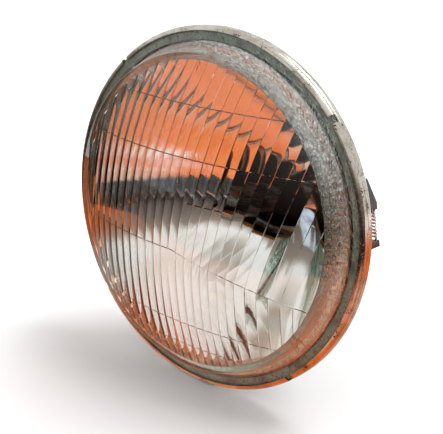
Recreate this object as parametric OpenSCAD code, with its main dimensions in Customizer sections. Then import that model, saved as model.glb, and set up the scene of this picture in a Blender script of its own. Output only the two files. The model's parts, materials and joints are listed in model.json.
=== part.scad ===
// Round headlight with a seven inch light unit.
// A fluted glass lens and a pressed steel reflector are held edge to edge by a rolled metal rim.
// A flat ring behind the rim carries one fixed pivot and two aiming screws,
// and a bulb is clipped into the neck of the reflector.
// The lamp's axis is Y. It shines towards -Y, +X is to the right seen from the front, and Z is up.
// The origin is on the lamp's axis, halfway along the depth of the rim.

/* [Rim] */
// Outer radius of the rim
rim_r = 89; // [84:0.5:100]
// Depth of the rim behind its front edge
rim_depth = 6.6; // [6:0.1:9]
// Outer radius of the rim's rolled rear edge
rim_roll_r = 2.4; // [1.6:0.1:2.8]
// Thickness of the rim's sheet metal
rim_t = 0.8; // [0.5:0.1:1.2]
// How far the rim's front lip reaches in over the glass
front_lip = 1.7; // [1:0.1:3]
// How far the rim's rear lip reaches in behind the reflector
rear_lip = 3.2; // [3:0.1:4]
// Width of each slot in the rim's front edge
slot_w = 3.6; // [2:0.1:6]
// Length of each slot along the side wall
slot_l = 2; // [1:0.1:3]
// Angle of the first of the four slots, from +X towards +Z
slot_angle = 41; // [0:1:89]

/* [Lens] */
// Width of the flat flange round the lens
flange_w = 5.7; // [4.5:0.1:8]
// Thickness of the lens flange
flange_t = 4.3; // [3:0.1:5.5]
// How far the flange's inner edge stands in front of its outer edge
flange_rise = 1.7; // [0.5:0.1:2.5]
// Radial run of the sloping wall between flange and dome
wall_run = 5.1; // [3:0.1:8]
// Height of the sloping wall
wall_rise = 7.6; // [4:0.1:12]
// Height of the dome above its edge
dome_rise = 17.1; // [10:0.1:22]
// Thickness of the glass at the middle of the dome
glass_t = 4; // [3:0.1:5]
// Distance from one flute to the next
flute_pitch = 5.72; // [4.5:0.01:8]
// Radius of each flute's rounded back
flute_r = 7; // [5:0.1:12]
// Height of the arrow mark that shows which way up the lens goes
arrow_h = 5; // [3:0.1:7]

/* [Reflector] */
// Focal length of the reflector, from its vertex to its focus
focal_l = 26.9; // [24:0.1:30]
// Thickness of the reflector's sheet metal
sheet_t = 1; // [0.8:0.1:1.2]
// Inner radius of the neck that the bulb goes into
neck_r = 22.5; // [21.5:0.1:24]
// Length of the neck
neck_l = 6.5; // [5:0.1:9]
// Width of the turned out edge at the back of the neck
neck_flange_w = 6; // [5:0.1:7]
// Inner radius of the ring that seats the bulb
seat_r = 19; // [17:0.1:20]
// Thickness of the seat ring
seat_t = 1.5; // [1:0.1:2]

/* [Mounting ring] */
// Width of the flat ring behind the rim
ring_w = 9.8; // [9:0.1:10.2]
// Thickness of the flat ring
ring_t = 1.2; // [1:0.1:1.6]
// Number of rivets through the flat ring
rivet_count = 6; // [3:3:9]
// Radius of a rivet's shank
rivet_r = 1.5; // [1:0.1:2]
// Angle of the pivot bracket, from +X towards +Z
pivot_angle = 12; // [5:1:25]
// Height of the pivot bracket's block
pivot_h = 9.8; // [8:0.1:12]
// Radius of the socket in the pivot bracket
socket_r = 3; // [2:0.1:3.5]

/* [Aiming screws] */
// Radius of an aiming screw's shank
screw_r = 2.5; // [2:0.1:3]
// Height of the boss that a screw turns in
boss_h = 13; // [10:0.5:16]
// Length of the spring on each screw
spring_l = 12; // [10.5:0.1:16]
// Length of thread behind the spring
thread_l = 22; // [20:0.5:30]
// Width of a square nut
nut_w = 10; // [9:0.1:12]
// Length of a square nut
nut_l = 6; // [5:0.1:8]

/* [Bulb] */
// Radius of the bulb's glass
bulb_r = 8.5; // [7:0.1:9.5]
// Length of the bulb in front of its main filament
bulb_l = 15.8; // [14:0.1:19]
// Radius of the bulb's metal shell
shell_r = 11; // [10.2:0.1:12]
// Radius of the bulb's seating flange
bulb_flange_r = 21; // [20.5:0.1:22]
// Width of a terminal blade
blade_w = 7.8; // [6:0.1:8]
// Length of a terminal blade
blade_l = 9; // [7:0.5:12]

/* [Bulb clip] */
// Radius of the clip's wire
clip_wire_r = 0.9; // [0.7:0.05:1.1]
// Distance from the lamp's axis to the clip's hinge
clip_hinge_x = 33; // [32:0.5:35]
// Half the distance between the clip's legs
clip_leg_z = 13.4; // [12.9:0.1:14]

/* [Hidden] */
$fn = 96;
// Air left between pieces that move past each other
gap = 0.3;
// Radial play of a running fit
play = 0.05;
// Air between a cavity and the part that it clears
slack = 0.2;
// A cut reaches this far past the surface that it opens
past = 1;

// Stations along the lamp's axis, front to back
rim_front_y = -rim_depth / 2;
rim_back_y = rim_depth / 2;
lens_r = rim_r - rim_t - slack;
foot_r = lens_r - flange_w;
dome_r = foot_r - wall_run;
glass_proud = 0.6;
flange_edge_y = rim_front_y - glass_proud;
foot_y = flange_edge_y - flange_rise;
dome_edge_y = foot_y - wall_rise;
apex_y = dome_edge_y - dome_rise;
glass_back_y = foot_y + flange_t;
dome_sphere_r = (dome_r * dome_r + dome_rise * dome_rise) / (2 * dome_rise);
dome_centre_y = apex_y + dome_sphere_r;
cavity_r = dome_r - glass_t;
lens_chamfer = 0.8;

// The channel in the reflector that holds the lens and its sealing bead
channel_floor_y = rim_back_y - rim_t - sheet_t;
channel_back_y = channel_floor_y + sheet_t;
channel_inset = 3.3;
channel_r = foot_r - channel_inset;
channel_edge_r = rim_r - rim_roll_r;
glass_gap = 0.4;
lip_y = glass_back_y + glass_gap;
mouth_inset = 1.2;
mouth_r = dome_r - mouth_inset;

// The bowl is a paraboloid, whose focus is where the main filament glows
vertex_y = lip_y + mouth_r * mouth_r / (4 * focal_l);
focus_y = vertex_y - focal_l;
function bowl_y(r) = vertex_y - r * r / (4 * focal_l);
neck_front_y = bowl_y(neck_r);
neck_back_y = neck_front_y + neck_l;
seat_front_y = neck_back_y;
seat_back_y = seat_front_y + seat_t;
neck_flange_r = neck_r + neck_flange_w;

// The flat ring and what is fastened to it
ring_edge_gap = 0.4;
ring_outer_r = rim_r - rear_lip - ring_edge_gap;
ring_inner_r = ring_outer_r - ring_w;
ring_back_y = channel_back_y + ring_t;
rivet_circle_r = (channel_r + ring_outer_r) / 2;
head_ratio = 1.8;
rivet_head_r = head_ratio * rivet_r;
rivet_head_h = rivet_r;
foot_t = 2.6;
foot_back_y = ring_back_y + foot_t;
boss_wall = 2.4;
boss_r = screw_r + boss_wall;
boss_edge = 0.6;
screw_circle_r = ring_outer_r - boss_r - boss_edge;
upper_angle = pivot_angle + 120;
lower_angle = pivot_angle + 240;
boss_back_y = ring_back_y + boss_h;
spring_back_y = boss_back_y + spring_l;
circlip_t = 1;
circlip_gap = 0.1;
circlip_front_y = spring_back_y + circlip_gap;
circlip_back_y = circlip_front_y + circlip_t;
screw_back_y = circlip_back_y + thread_l;
collar_t = 1.8;
collar_step = 1.4;
collar_r = screw_r + collar_step;
nut_y = circlip_back_y + thread_l / 2;
nut_collar_t = 1.6;
nut_collar_step = 3;
driver_slot_w = 1;
driver_slot_l = 1.6;
bracket_w = 26;
bracket_edge = 0.4;
web_w = 22;
web_t = 2;
web_below_boss = 3;

// The bulb
bulb_flange_t = 1.2;
bulb_flange_back_y = seat_back_y + bulb_flange_t;
shell_reach = 9;
shell_front_y = seat_back_y - shell_reach;
shell_step = 2;
shell_back_y = bulb_flange_back_y + shell_step;
bulb_tip_y = focus_y - bulb_l;
bulb_wall = 0.8;
glass_seat_l = 7;
base_gap = 3;
base_front_y = shell_front_y + glass_seat_l + base_gap;
base_t = 5;
base_back_y = shell_back_y + base_t;
shell_t = 1;
blade_t = 0.8;

// The wire clip that holds the bulb
clip_y = bulb_flange_back_y + clip_wire_r + gap;
hinge_lift = 1.2;
clip_hinge_y = clip_y + hinge_lift;
clip_end_reach = 2.5;
clip_end_x = clip_hinge_x + clip_end_reach;
clip_end_z = 6;
ear_w = 18;
ear_past_hinge = 3.4;
ear_reach = clip_hinge_x + ear_past_hinge;
lug_z = 6.5;
lug_t = 1.2;
lug_w = 5;
lug_past_hinge = 2.4;
plate_t = 1;
plate_w = 6.4;
keeper_t = 0.8;
keeper_w = 5.6;
keeper_lug_w = 4;
keeper_lug_t = 1;
keeper_inset = 0.4;
keeper_past = 2;

// Coil springs: 8 rings to a curl and 6 sides
rings = 8;
sides = 6;
screw_spring_wire_r = 0.6;
screw_spring_r = screw_r + 1.7;
screw_spring_curls = 5;
circlip_r = screw_spring_r + screw_spring_wire_r + 0.6;
pull_spring_wire_r = 0.5;
pull_spring_r = 1.75;
pull_spring_curls = 8;
pull_spring_pitch = 1.5;

glass = [0.86, 0.9, 0.9, 0.45];
bright = [0.83, 0.82, 0.79];
silvered = [0.75, 0.74, 0.72];
steel = [0.62, 0.62, 0.63];
zinc = [0.72, 0.7, 0.62];
black_paint = [0.08, 0.08, 0.09];
black_plastic = [0.11, 0.11, 0.12];
putty = [0.56, 0.53, 0.47];
nylon = [0.87, 0.85, 0.77];
brass = [0.72, 0.55, 0.28];
tungsten = [0.35, 0.34, 0.33];

// Turns children drawn upwards so that their up is the lamp's back.
module rearward() {
    rotate([-90, 0, 0]) children();
}

// Places children drawn at +X round the lamp, by an angle from +X towards +Z.
module round_lamp(angle) {
    rotate([0, -angle, 0]) children();
}

// Turns a half section, drawn as radius and station, round the lamp's axis.
module turned() {
    rearward() rotate_extrude($fn = 180) children();
}

// A ring whose section is a plain rectangle.
module flat_ring(inner, outer, front, back) {
    turned() translate([inner, front]) square([outer - inner, back - front]);
}

// A round bar along the lamp's axis, at a place in the front view.
module bar_y(x, z, r, front, back) {
    translate([x, front, z]) rearward() cylinder(r = r, h = back - front);
}

// A box between two stations, centred in X and Z.
module block_y(x, z, width, height, front, back) {
    translate([x - width / 2, front, z - height / 2]) cube([width, back - front, height]);
}

// Lens

// The blocks of the lens, each with the lean of its flutes in degrees, their shift towards +X and its corners.
// The shifts keep the grooves of neighbouring blocks from meeting at their shared line.
line_top = 54;
line_upper = 31;
line_short = 11.4;
line_bend = -12.7;
line_bend_end = -32;
line_lower = -50.2;
line_bottom = -62.9;
short_left = 9;
short_right = 30.5;
far = 90;
blocks = [
    [10, -2.24, [[-far, line_top], [far, line_top], [far, far], [-far, far]]],
    [7, -1.65, [[-far, line_upper], [far, line_upper], [far, line_top], [-far, line_top]]],
    [3, -1.45, [[-far, line_bend], [0, line_bend], [short_left, line_short], [short_right, line_short],
                [short_right, line_upper], [-far, line_upper]]],
    [15, 2.67, [[0, line_bend], [far, line_bend_end], [far, line_upper], [short_right, line_upper],
                [short_right, line_short], [short_left, line_short]]],
    [0, 0.77, [[-far, line_lower], [far, line_lower], [far, line_bend_end], [0, line_bend],
               [-far, line_bend]]],
    [-4, 0.02, [[-far, line_bottom], [far, line_bottom], [far, line_lower], [-far, line_lower]]],
    [-7, 0.4, [[-far, -far], [far, -far], [far, line_bottom], [-far, line_bottom]]]
];
flute_depth = flute_r - sqrt(flute_r * flute_r - flute_pitch * flute_pitch / 4);
flute_count = ceil(cavity_r / flute_pitch) + 2;
back_sphere_r = dome_sphere_r - glass_t;
sweep_past = 14;
air_depth = 40;
flutes_depth = 8;
flutes_back_y = dome_edge_y + flutes_depth;

module lens_outline() {
    intersection() {
        translate([0, dome_centre_y]) circle(r = dome_sphere_r, $fn = 360);
        translate([0, apex_y - past]) square([dome_r, glass_back_y - apex_y + past]);
    }
    polygon([[0, dome_edge_y], [dome_r, dome_edge_y], [foot_r, foot_y], [lens_r - lens_chamfer, flange_edge_y],
             [lens_r, flange_edge_y + lens_chamfer], [lens_r, glass_back_y], [0, glass_back_y]]);
}

// The air behind the fluted glass: a sphere turned about an axis that crosses the lamp's,
// with the rounded back of each flute cut out of it. A positive lean takes the flutes' tops towards +X.
module fluted_air(lean, shift) {
    sweep = 2 * asin((cavity_r + sweep_past) / back_sphere_r);
    flute_circle = back_sphere_r + flute_r - flute_depth;
    translate([0, dome_centre_y, 0]) rotate([0, lean, 0]) rotate([0, 90, 0])
        rotate([0, 0, -90 - sweep / 2]) rotate_extrude(angle = sweep, $fn = 360) difference() {
            intersection() {
                circle(r = back_sphere_r, $fn = 360);
                translate([back_sphere_r - air_depth, -far]) square([air_depth, 2 * far]);
            }
            for (i = [-flute_count:flute_count]) let (across = i * flute_pitch + shift)
                translate([sqrt(flute_circle * flute_circle - across * across), across]) circle(r = flute_r);
        }
}

module block_prism(corners) {
    translate([0, glass_back_y + past, 0]) rotate([90, 0, 0])
        linear_extrude(height = glass_back_y + past - apex_y) intersection() {
            polygon(corners);
            circle(r = cavity_r, $fn = 180);
        }
}

// A plain arrow, pointing up, raised on the dome near its top edge.
arrow_proud = 0.35;
arrow_edge = 2.5;
module arrow_mark() {
    arrow_z = dome_r - arrow_edge - arrow_h / 2;
    bar = 0.11 * arrow_h;
    intersection() {
        translate([0, dome_edge_y, arrow_z]) rotate([90, 0, 0]) linear_extrude(height = dome_rise)
            polygon([[0, arrow_h / 2], [3.5 * bar, 0], [bar, 0], [bar, -arrow_h / 2],
                     [-bar, -arrow_h / 2], [-bar, 0], [-3.5 * bar, 0]]);
        translate([0, dome_centre_y, 0]) sphere(r = dome_sphere_r + arrow_proud, $fn = 360);
    }
}

module lens() {
    color(glass) difference() {
        union() {
            turned() lens_outline();
            arrow_mark();
        }
        for (block = blocks) intersection() {
            fluted_air(block[0], block[1]);
            block_prism(block[2]);
        }
        bar_y(0, 0, cavity_r, flutes_back_y, glass_back_y + past);
    }
}

seal_inset = 1;
seal_edge = 0.4;
module lens_seal() {
    color(putty) flat_ring(channel_r + sheet_t + seal_inset, lens_r - seal_edge, glass_back_y, channel_floor_y);
}

// Rim

// The front lip lies along the sloping flange of the glass, a little in front of it.
lip_r = rim_r - rim_t - front_lip;
lip_gap = 0.1;
flange_outer_r = lens_r - lens_chamfer;
function flange_front_y(r) = flange_edge_y - flange_rise * (flange_outer_r - r) / (flange_outer_r - foot_r);

// The rear edge is rolled inwards: an arc from the side wall to the flat rear lip.
roll_steps = 6;
function roll_point(r, angle) =
    [rim_r - rim_roll_r + r * cos(angle), rim_back_y - rim_roll_r + r * sin(angle)];

module rim_outline() {
    polygon(concat(
        [[lip_r, flange_front_y(lip_r) - lip_gap], [lip_r, flange_front_y(lip_r) - lip_gap - rim_t],
         [rim_r - rim_t, rim_front_y - 1.5 * rim_t], [rim_r, rim_front_y]],
        [for (i = [0:roll_steps]) roll_point(rim_roll_r, 90 * i / roll_steps)],
        [[rim_r - rear_lip, rim_back_y], [rim_r - rear_lip, rim_back_y - rim_t]],
        [for (i = [roll_steps:-1:0]) roll_point(rim_roll_r - rim_t, 90 * i / roll_steps)],
        [[rim_r - rim_t, rim_front_y + lip_gap], [flange_outer_r, flange_edge_y - lip_gap]]));
}

module rim() {
    color(bright) difference() {
        turned() rim_outline();
        for (i = [0:3]) round_lamp(slot_angle + 90 * i)
            translate([lip_r - past, rim_front_y - 3 * rim_t, -slot_w / 2])
                cube([front_lip + rim_t + 2 * past, 3 * rim_t + slot_l, slot_w]);
    }
}

// Reflector

// Half section of the bowl: the inner curve, and the same curve one sheet thickness out.
bowl_steps = 28;
fold = 0.9;
function bowl_r(i) = neck_r + (mouth_r - neck_r) * i / bowl_steps;
function bowl_slope(r) = sqrt(1 + pow(r / (2 * focal_l), 2));
function bowl_outer(r) = [r + sheet_t * r / (2 * focal_l) / bowl_slope(r), bowl_y(r) + sheet_t / bowl_slope(r)];

module reflector_outline() {
    polygon(concat(
        // Inside: the neck, then the bowl out to its mouth
        [[neck_r, neck_back_y], [neck_r, neck_front_y]],
        [for (i = [1:bowl_steps]) [bowl_r(i), bowl_y(bowl_r(i))]],
        // The lip, and the channel that holds the lens
        [[channel_r + sheet_t, lip_y], [channel_r + sheet_t, channel_floor_y],
         [channel_edge_r, channel_floor_y], [channel_edge_r, channel_back_y], [channel_r, channel_back_y],
         [channel_r, lip_y + sheet_t], [mouth_r + fold * sheet_t, lip_y + sheet_t]],
        // Outside: back along the bowl to the neck and its turned out edge
        [for (i = [bowl_steps - 1:-1:1]) bowl_outer(bowl_r(i))],
        [[neck_r + sheet_t, neck_front_y + sheet_t / 2], [neck_r + sheet_t, neck_back_y - sheet_t],
         [neck_flange_r, neck_back_y - sheet_t], [neck_flange_r, neck_back_y]]));
}

module reflector() {
    color(silvered) difference() {
        turned() reflector_outline();
        rivet_holes(channel_floor_y - past, channel_back_y + past);
        seat_rivet_holes(neck_back_y - 2 * sheet_t, neck_back_y + past);
    }
}

// Flat ring and its rivets

module rivet_places() {
    for (i = [0:rivet_count - 1]) round_lamp(pivot_angle + 360 / rivet_count * (i + 0.5)) children();
}

module rivet_holes(front, back) {
    rivet_places() bar_y(rivet_circle_r, 0, rivet_r, front, back);
}

module mounting_ring() {
    color(black_paint) difference() {
        flat_ring(ring_inner_r, ring_outer_r, channel_back_y, ring_back_y);
        rivet_holes(channel_back_y - past, ring_back_y + past);
    }
}

module ring_rivets() {
    color(steel) rivet_places() {
        bar_y(rivet_circle_r, 0, rivet_r, channel_floor_y, ring_back_y);
        bar_y(rivet_circle_r, 0, rivet_head_r, ring_back_y, ring_back_y + rivet_head_h);
    }
}

// Pivot bracket and pull spring

block_w = 10;
block_inner_r = ring_outer_r - block_w;
block_outer_r = ring_outer_r - 0.3;
block_low_z = 1.5;
block_high_z = 15;
foot_low_z = -16;
post_w = 4.4;
post_t = 3;
post_z = foot_low_z + 2;
pull_spring_inset = 1.2;
pull_spring_x = ring_outer_r - pull_spring_r - pull_spring_wire_r - pull_spring_inset;
pull_spring_reach = 6.5;
pull_spring_y = foot_back_y + pull_spring_reach;
pull_spring_run = block_low_z - post_z - post_t / 2;
pull_spring_stub = (pull_spring_run - pull_spring_curls * pull_spring_pitch) / 2;
block_edge_h = 3;
block_lean = 4.1;
// Pieces of one body reach this far into each other
bite = 0.1;

socket_inset = 4.6;
socket_drop = 0.6;
socket_x = block_inner_r + socket_inset;
socket_z = (block_low_z + block_high_z) / 2 - socket_drop;

module pivot_bracket() {
    color(black_plastic) difference() {
        round_lamp(pivot_angle) pivot_block();
        // Both ends of the foot follow the edge of the flat ring
        past_ring(ring_back_y + pivot_h + past);
    }
}

// All that stands out past the flat ring's edge, which has to stay clear of the rim's seat.
module past_ring(back) {
    difference() {
        bar_y(0, 0, ring_outer_r + block_w, ring_back_y - past, back);
        bar_y(0, 0, ring_outer_r, ring_back_y - 2 * past, back + past);
    }
}

module spring_post(low_z) {
    translate([pull_spring_x - post_w / 2, foot_back_y - bite, low_z])
        cube([post_w, pull_spring_y - foot_back_y + post_w / 2, post_t]);
}

module pivot_block() {
    difference() {
        union() {
            translate([block_inner_r, ring_back_y, foot_low_z])
                cube([ring_outer_r - block_inner_r + past, foot_t, block_high_z - foot_low_z]);
            // The block's outer side leans in towards its top
            translate([0, ring_back_y + pivot_h, 0]) rotate([90, 0, 0]) linear_extrude(height = pivot_h - foot_t + bite)
                polygon([[block_inner_r, block_low_z], [block_outer_r, block_low_z],
                         [block_outer_r, block_low_z + block_edge_h],
                         [block_outer_r - block_lean, block_high_z], [block_inner_r, block_high_z]]);
            // The pull spring hangs between the block's ear and the post on the foot
            spring_post(block_low_z);
            spring_post(post_z - post_t / 2);
        }
        bar_y(socket_x, socket_z, socket_r, foot_back_y, ring_back_y + pivot_h + past);
    }
}

// Coil spring along Z: straight stubs at both ends and a helix between them.
function spring_path(r, curls, pitch, stub) = concat(
    [[r, 0, 0]],
    [for (i = [0:curls * rings]) let (a = 360 * i / rings)
        [r * cos(a), r * sin(a), stub + pitch * i / rings]],
    [[r, 0, 2 * stub + curls * pitch]]);
function spring_side(i, last, a) = (i == 0 || i == last) ? [1, 0, 0] : [cos(a), sin(a), 0];
function unit(v) = v / norm(v);
function path_tangent(p, i) = unit(p[min(i + 1, len(p) - 1)] - p[max(i - 1, 0)]);
function spring_ring(p, i, wire_r) =
    let (last = len(p) - 1,
         t = (i == 0 || i == last) ? [0, 0, 1] : path_tangent(p, i),
         out = spring_side(i, last, 360 * (i - 1) / rings),
         u = unit(out - (out * t) * t),
         v = cross(t, u))
    [for (k = [0:sides - 1]) p[i] + wire_r * (cos(360 * k / sides) * u + sin(360 * k / sides) * v)];
function least_gap(p, wire_r) =
    min([for (i = [0:len(p) - 1]) for (j = [i + 5:1:len(p) - 1]) norm(p[i] - p[j])]) - 2 * wire_r;

module coil_spring(r, wire_r, curls, pitch, stub, label) {
    path = spring_path(r, curls, pitch, stub);
    count = len(path);
    points = [for (i = [0:count - 1]) each spring_ring(path, i, wire_r)];
    walls = [for (i = [0:count - 2]) for (k = [0:sides - 1])
        let (a = i * sides + k, b = i * sides + (k + 1) % sides)
        each [[a, a + sides, b], [b, a + sides, b + sides]]];
    first = [for (k = [1:sides - 2]) [0, k, k + 1]];
    end = (count - 1) * sides;
    final = [for (k = [1:sides - 2]) [end, end + k + 1, end + k]];
    echo(str(label, " least gap in mm: "), least_gap(path, wire_r));
    polyhedron(points = points, faces = concat(walls, first, final));
}

module pull_spring() {
    color(bright) round_lamp(pivot_angle)
        translate([pull_spring_x, pull_spring_y, post_z + post_t / 2])
            coil_spring(pull_spring_r, pull_spring_wire_r, pull_spring_curls, pull_spring_pitch,
                        pull_spring_stub, "pull spring");
}

// Aiming screws, their brackets, springs, circlips and nuts

module screw_bracket(angle) {
    color(black_plastic) round_lamp(angle) difference() {
        union() {
            translate([ring_inner_r + bracket_edge, ring_back_y, -bracket_w / 2])
                cube([ring_outer_r - ring_inner_r - bracket_edge + past, foot_t, bracket_w]);
            bar_y(screw_circle_r, 0, boss_r, ring_back_y, boss_back_y);
            translate([screw_circle_r - web_t / 2, foot_back_y - bite, -web_w / 2])
                cube([web_t, boss_h - foot_t - web_below_boss, web_w]);
        }
        bar_y(screw_circle_r, 0, screw_r + play, ring_back_y - past, boss_back_y + past);
        bar_y(screw_circle_r, 0, collar_r + slack, ring_back_y - past, ring_back_y + collar_t + 2 * gap);
        past_ring(boss_back_y + past);
    }
}

module aiming_screw(angle) {
    color(zinc) round_lamp(angle) difference() {
        union() {
            bar_y(screw_circle_r, 0, screw_r, ring_back_y + gap, screw_back_y);
            bar_y(screw_circle_r, 0, collar_r, ring_back_y + gap, ring_back_y + gap + collar_t);
        }
        // Driver slot
        block_y(screw_circle_r, 0, driver_slot_w, 2 * (screw_r + past), screw_back_y - driver_slot_l,
                screw_back_y + past);
    }
}

module screw_spring(angle, label) {
    stub = 2 * screw_spring_wire_r;
    color(bright) round_lamp(angle) translate([screw_circle_r, boss_back_y, 0]) rearward()
        coil_spring(screw_spring_r, screw_spring_wire_r, screw_spring_curls,
                    (spring_l - 2 * stub) / screw_spring_curls, stub, label);
}

module circlip(angle) {
    color(steel) round_lamp(angle) difference() {
        bar_y(screw_circle_r, 0, circlip_r, circlip_front_y, circlip_back_y);
        bar_y(screw_circle_r, 0, screw_r, circlip_front_y - past, circlip_back_y + past);
        // Mouth of the clip
        translate([screw_circle_r + screw_r / 2, circlip_front_y - past, -screw_r / 2])
            cube([circlip_r, circlip_t + 2 * past, screw_r]);
    }
}

module square_nut(angle) {
    color(nylon) round_lamp(angle) difference() {
        union() {
            block_y(screw_circle_r, 0, nut_w, nut_w, nut_y - nut_l / 2, nut_y + nut_l / 2);
            block_y(screw_circle_r, 0, nut_w + nut_collar_step, nut_w + nut_collar_step,
                    nut_y - nut_l / 2 - nut_collar_t, nut_y - nut_l / 2);
        }
        bar_y(screw_circle_r, 0, screw_r + play, nut_y - nut_l, nut_y + nut_l);
    }
}

module upper_bracket() { screw_bracket(upper_angle); }
module upper_screw() { aiming_screw(upper_angle); }
module upper_spring() { screw_spring(upper_angle, "upper spring"); }
module upper_circlip() { circlip(upper_angle); }
module upper_nut() { square_nut(upper_angle); }
module lower_bracket() { screw_bracket(lower_angle); }
module lower_screw() { aiming_screw(lower_angle); }
module lower_spring() { screw_spring(lower_angle, "lower spring"); }
module lower_circlip() { circlip(lower_angle); }
module lower_nut() { square_nut(lower_angle); }

// Bulb seat and the clip that holds the bulb

module seat_rivet_places() {
    for (a = [45:90:315]) round_lamp(a) children();
}

seat_rivet_x = (neck_r + sheet_t + neck_flange_r) / 2;
seat_rivet_r = 1.2;
seat_rivet_head_h = 0.9;

module seat_rivet_holes(front, back) {
    seat_rivet_places() bar_y(seat_rivet_x, 0, seat_rivet_r, front, back);
}

module bulb_seat_ring() {
    color(steel) difference() {
        union() {
            bar_y(0, 0, neck_flange_r, seat_front_y, seat_back_y);
            block_y(0, 0, 2 * ear_reach, ear_w, seat_front_y, seat_back_y);
        }
        bar_y(0, 0, seat_r, seat_front_y - past, seat_back_y + past);
        seat_rivet_holes(seat_front_y - past, seat_back_y + past);
    }
}

module seat_rivets() {
    color(steel) seat_rivet_places() {
        bar_y(seat_rivet_x, 0, seat_rivet_r, neck_back_y - sheet_t, seat_back_y);
        bar_y(seat_rivet_x, 0, head_ratio * seat_rivet_r, seat_back_y, seat_back_y + seat_rivet_head_h);
        bar_y(seat_rivet_x, 0, head_ratio * seat_rivet_r, neck_back_y - sheet_t - seat_rivet_head_h,
              neck_back_y - sheet_t);
    }
}

module clip_hinge_bracket() {
    color(steel) difference() {
        union() {
            block_y(-clip_hinge_x, 0, plate_w, ear_w - 1, seat_back_y, seat_back_y + plate_t);
            for (side = [-1, 1])
                block_y(-clip_hinge_x, side * lug_z, lug_w, lug_t, seat_back_y, clip_hinge_y + lug_past_hinge);
        }
        translate([-clip_hinge_x, clip_hinge_y, -ear_w]) cylinder(r = clip_wire_r + play, h = 2 * ear_w);
    }
}

module clip_keeper() {
    keeper_x = clip_hinge_x - keeper_inset;
    lug_at = clip_end_z + clip_wire_r + gap + keeper_lug_t / 2;
    color(steel) {
        block_y(keeper_x, 0, keeper_w, ear_w - 1, seat_back_y, seat_back_y + keeper_t);
        for (side = [-1, 1])
            block_y(keeper_x, side * lug_at, keeper_lug_w, keeper_lug_t, seat_back_y, clip_y + keeper_past);
    }
}

// A bent wire: its path, with each inner corner rounded, swept by a ring of sides.
corner_steps = 5;
function rounded(p, i, cut) =
    let (a = p[i] + cut * unit(p[i - 1] - p[i]), b = p[i] + cut * unit(p[i + 1] - p[i]))
    [for (k = [0:corner_steps]) let (t = k / corner_steps)
        (1 - t) * (1 - t) * a + 2 * t * (1 - t) * p[i] + t * t * b];
function bent_path(p, cut) =
    concat([p[0]], [for (i = [1:len(p) - 2]) each rounded(p, i, cut)], [p[len(p) - 1]]);
function wire_ring(p, i) =
    let (t = path_tangent(p, i), u = unit(cross(t, [0, 1, 0])), v = cross(t, u))
    [for (k = [0:wire_sides - 1])
        p[i] + swept_r * (cos(360 * k / wire_sides) * u + sin(360 * k / wire_sides) * v)];
wire_sides = 12;
// The swept wire is a little thinner than the hinge bar, so that its ends lie inside the bar.
swept_r = clip_wire_r - 0.05;
wire_bend = 2.2;
leg_drop = 7;
leg_taper = 13;

module bent_wire(path) {
    count = len(path);
    points = [for (i = [0:count - 1]) each wire_ring(path, i)];
    walls = [for (i = [0:count - 2]) for (k = [0:wire_sides - 1])
        let (a = i * wire_sides + k, b = i * wire_sides + (k + 1) % wire_sides)
        each [[a, a + wire_sides, b], [b, a + wire_sides, b + wire_sides]]];
    first = [for (k = [1:wire_sides - 2]) [0, k, k + 1]];
    end = (count - 1) * wire_sides;
    final = [for (k = [1:wire_sides - 2]) [end, end + k + 1, end + k]];
    polyhedron(points = points, faces = concat(walls, first, final));
}

module bulb_clip() {
    straight = clip_leg_z - wire_bend - 0.4;
    half = [[-clip_hinge_x, clip_hinge_y, straight - 0.4], [-clip_hinge_x, clip_hinge_y, clip_leg_z],
            [leg_drop - clip_hinge_x, clip_y, clip_leg_z], [clip_hinge_x - leg_taper, clip_y, clip_leg_z],
            [clip_hinge_x - leg_drop, clip_y, clip_end_z], [clip_end_x, clip_y, clip_end_z]];
    last = len(half) - 1;
    whole = concat(half, [for (i = [last:-1:0]) [half[i][0], half[i][1], -half[i][2]]]);
    color(bright) union() {
        bent_wire(bent_path(whole, wire_bend));
        translate([-clip_hinge_x, clip_hinge_y, -straight]) cylinder(r = clip_wire_r, h = 2 * straight);
    }
}

// Bulb

module bulb_glass() {
    back_y = shell_front_y + glass_seat_l;
    color(glass) difference() {
        union() {
            bar_y(0, 0, bulb_r, bulb_tip_y + bulb_r, back_y);
            translate([0, bulb_tip_y + bulb_r, 0]) sphere(r = bulb_r);
        }
        bar_y(0, 0, bulb_r - bulb_wall, bulb_tip_y + bulb_r, back_y + past);
        translate([0, bulb_tip_y + bulb_r, 0]) sphere(r = bulb_r - bulb_wall);
    }
}

stem_r = 5.4;
stem_corner = 1.5;
stem_front_y = shell_front_y + 1;
post_r = 0.45;
post_x = 3.2;
side_post_z = 0.8;
post_depth = 5;
arm_h = 0.7;
arm_t = 0.6;
arm_inset = 0.4;
filament_r = 0.8;
filament_l = 5;
dip_offset = 7;
dip_y = focus_y - dip_offset;
main_filament_y = focus_y - filament_l / 2;
dip_filament_y = dip_y - filament_l / 2;
shield_r = 4.2;
shield_t = 0.4;
shield_l = 8;
shield_z = 0.4;

module bulb_stem() {
    color(glass) difference() {
        turned() polygon([[0, stem_front_y], [stem_r - stem_corner, stem_front_y],
                          [stem_r, stem_front_y + stem_corner], [stem_r, base_front_y], [0, base_front_y]]);
        for (x = [-post_x, 0, post_x])
            bar_y(x, post_z_of(x), post_r, stem_front_y - past, stem_front_y + post_depth);
    }
}
// The middle post runs along the inside of the shield.
function post_z_of(x) = x == 0 ? shield_z - shield_r + shield_t + post_r : side_post_z;

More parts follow.
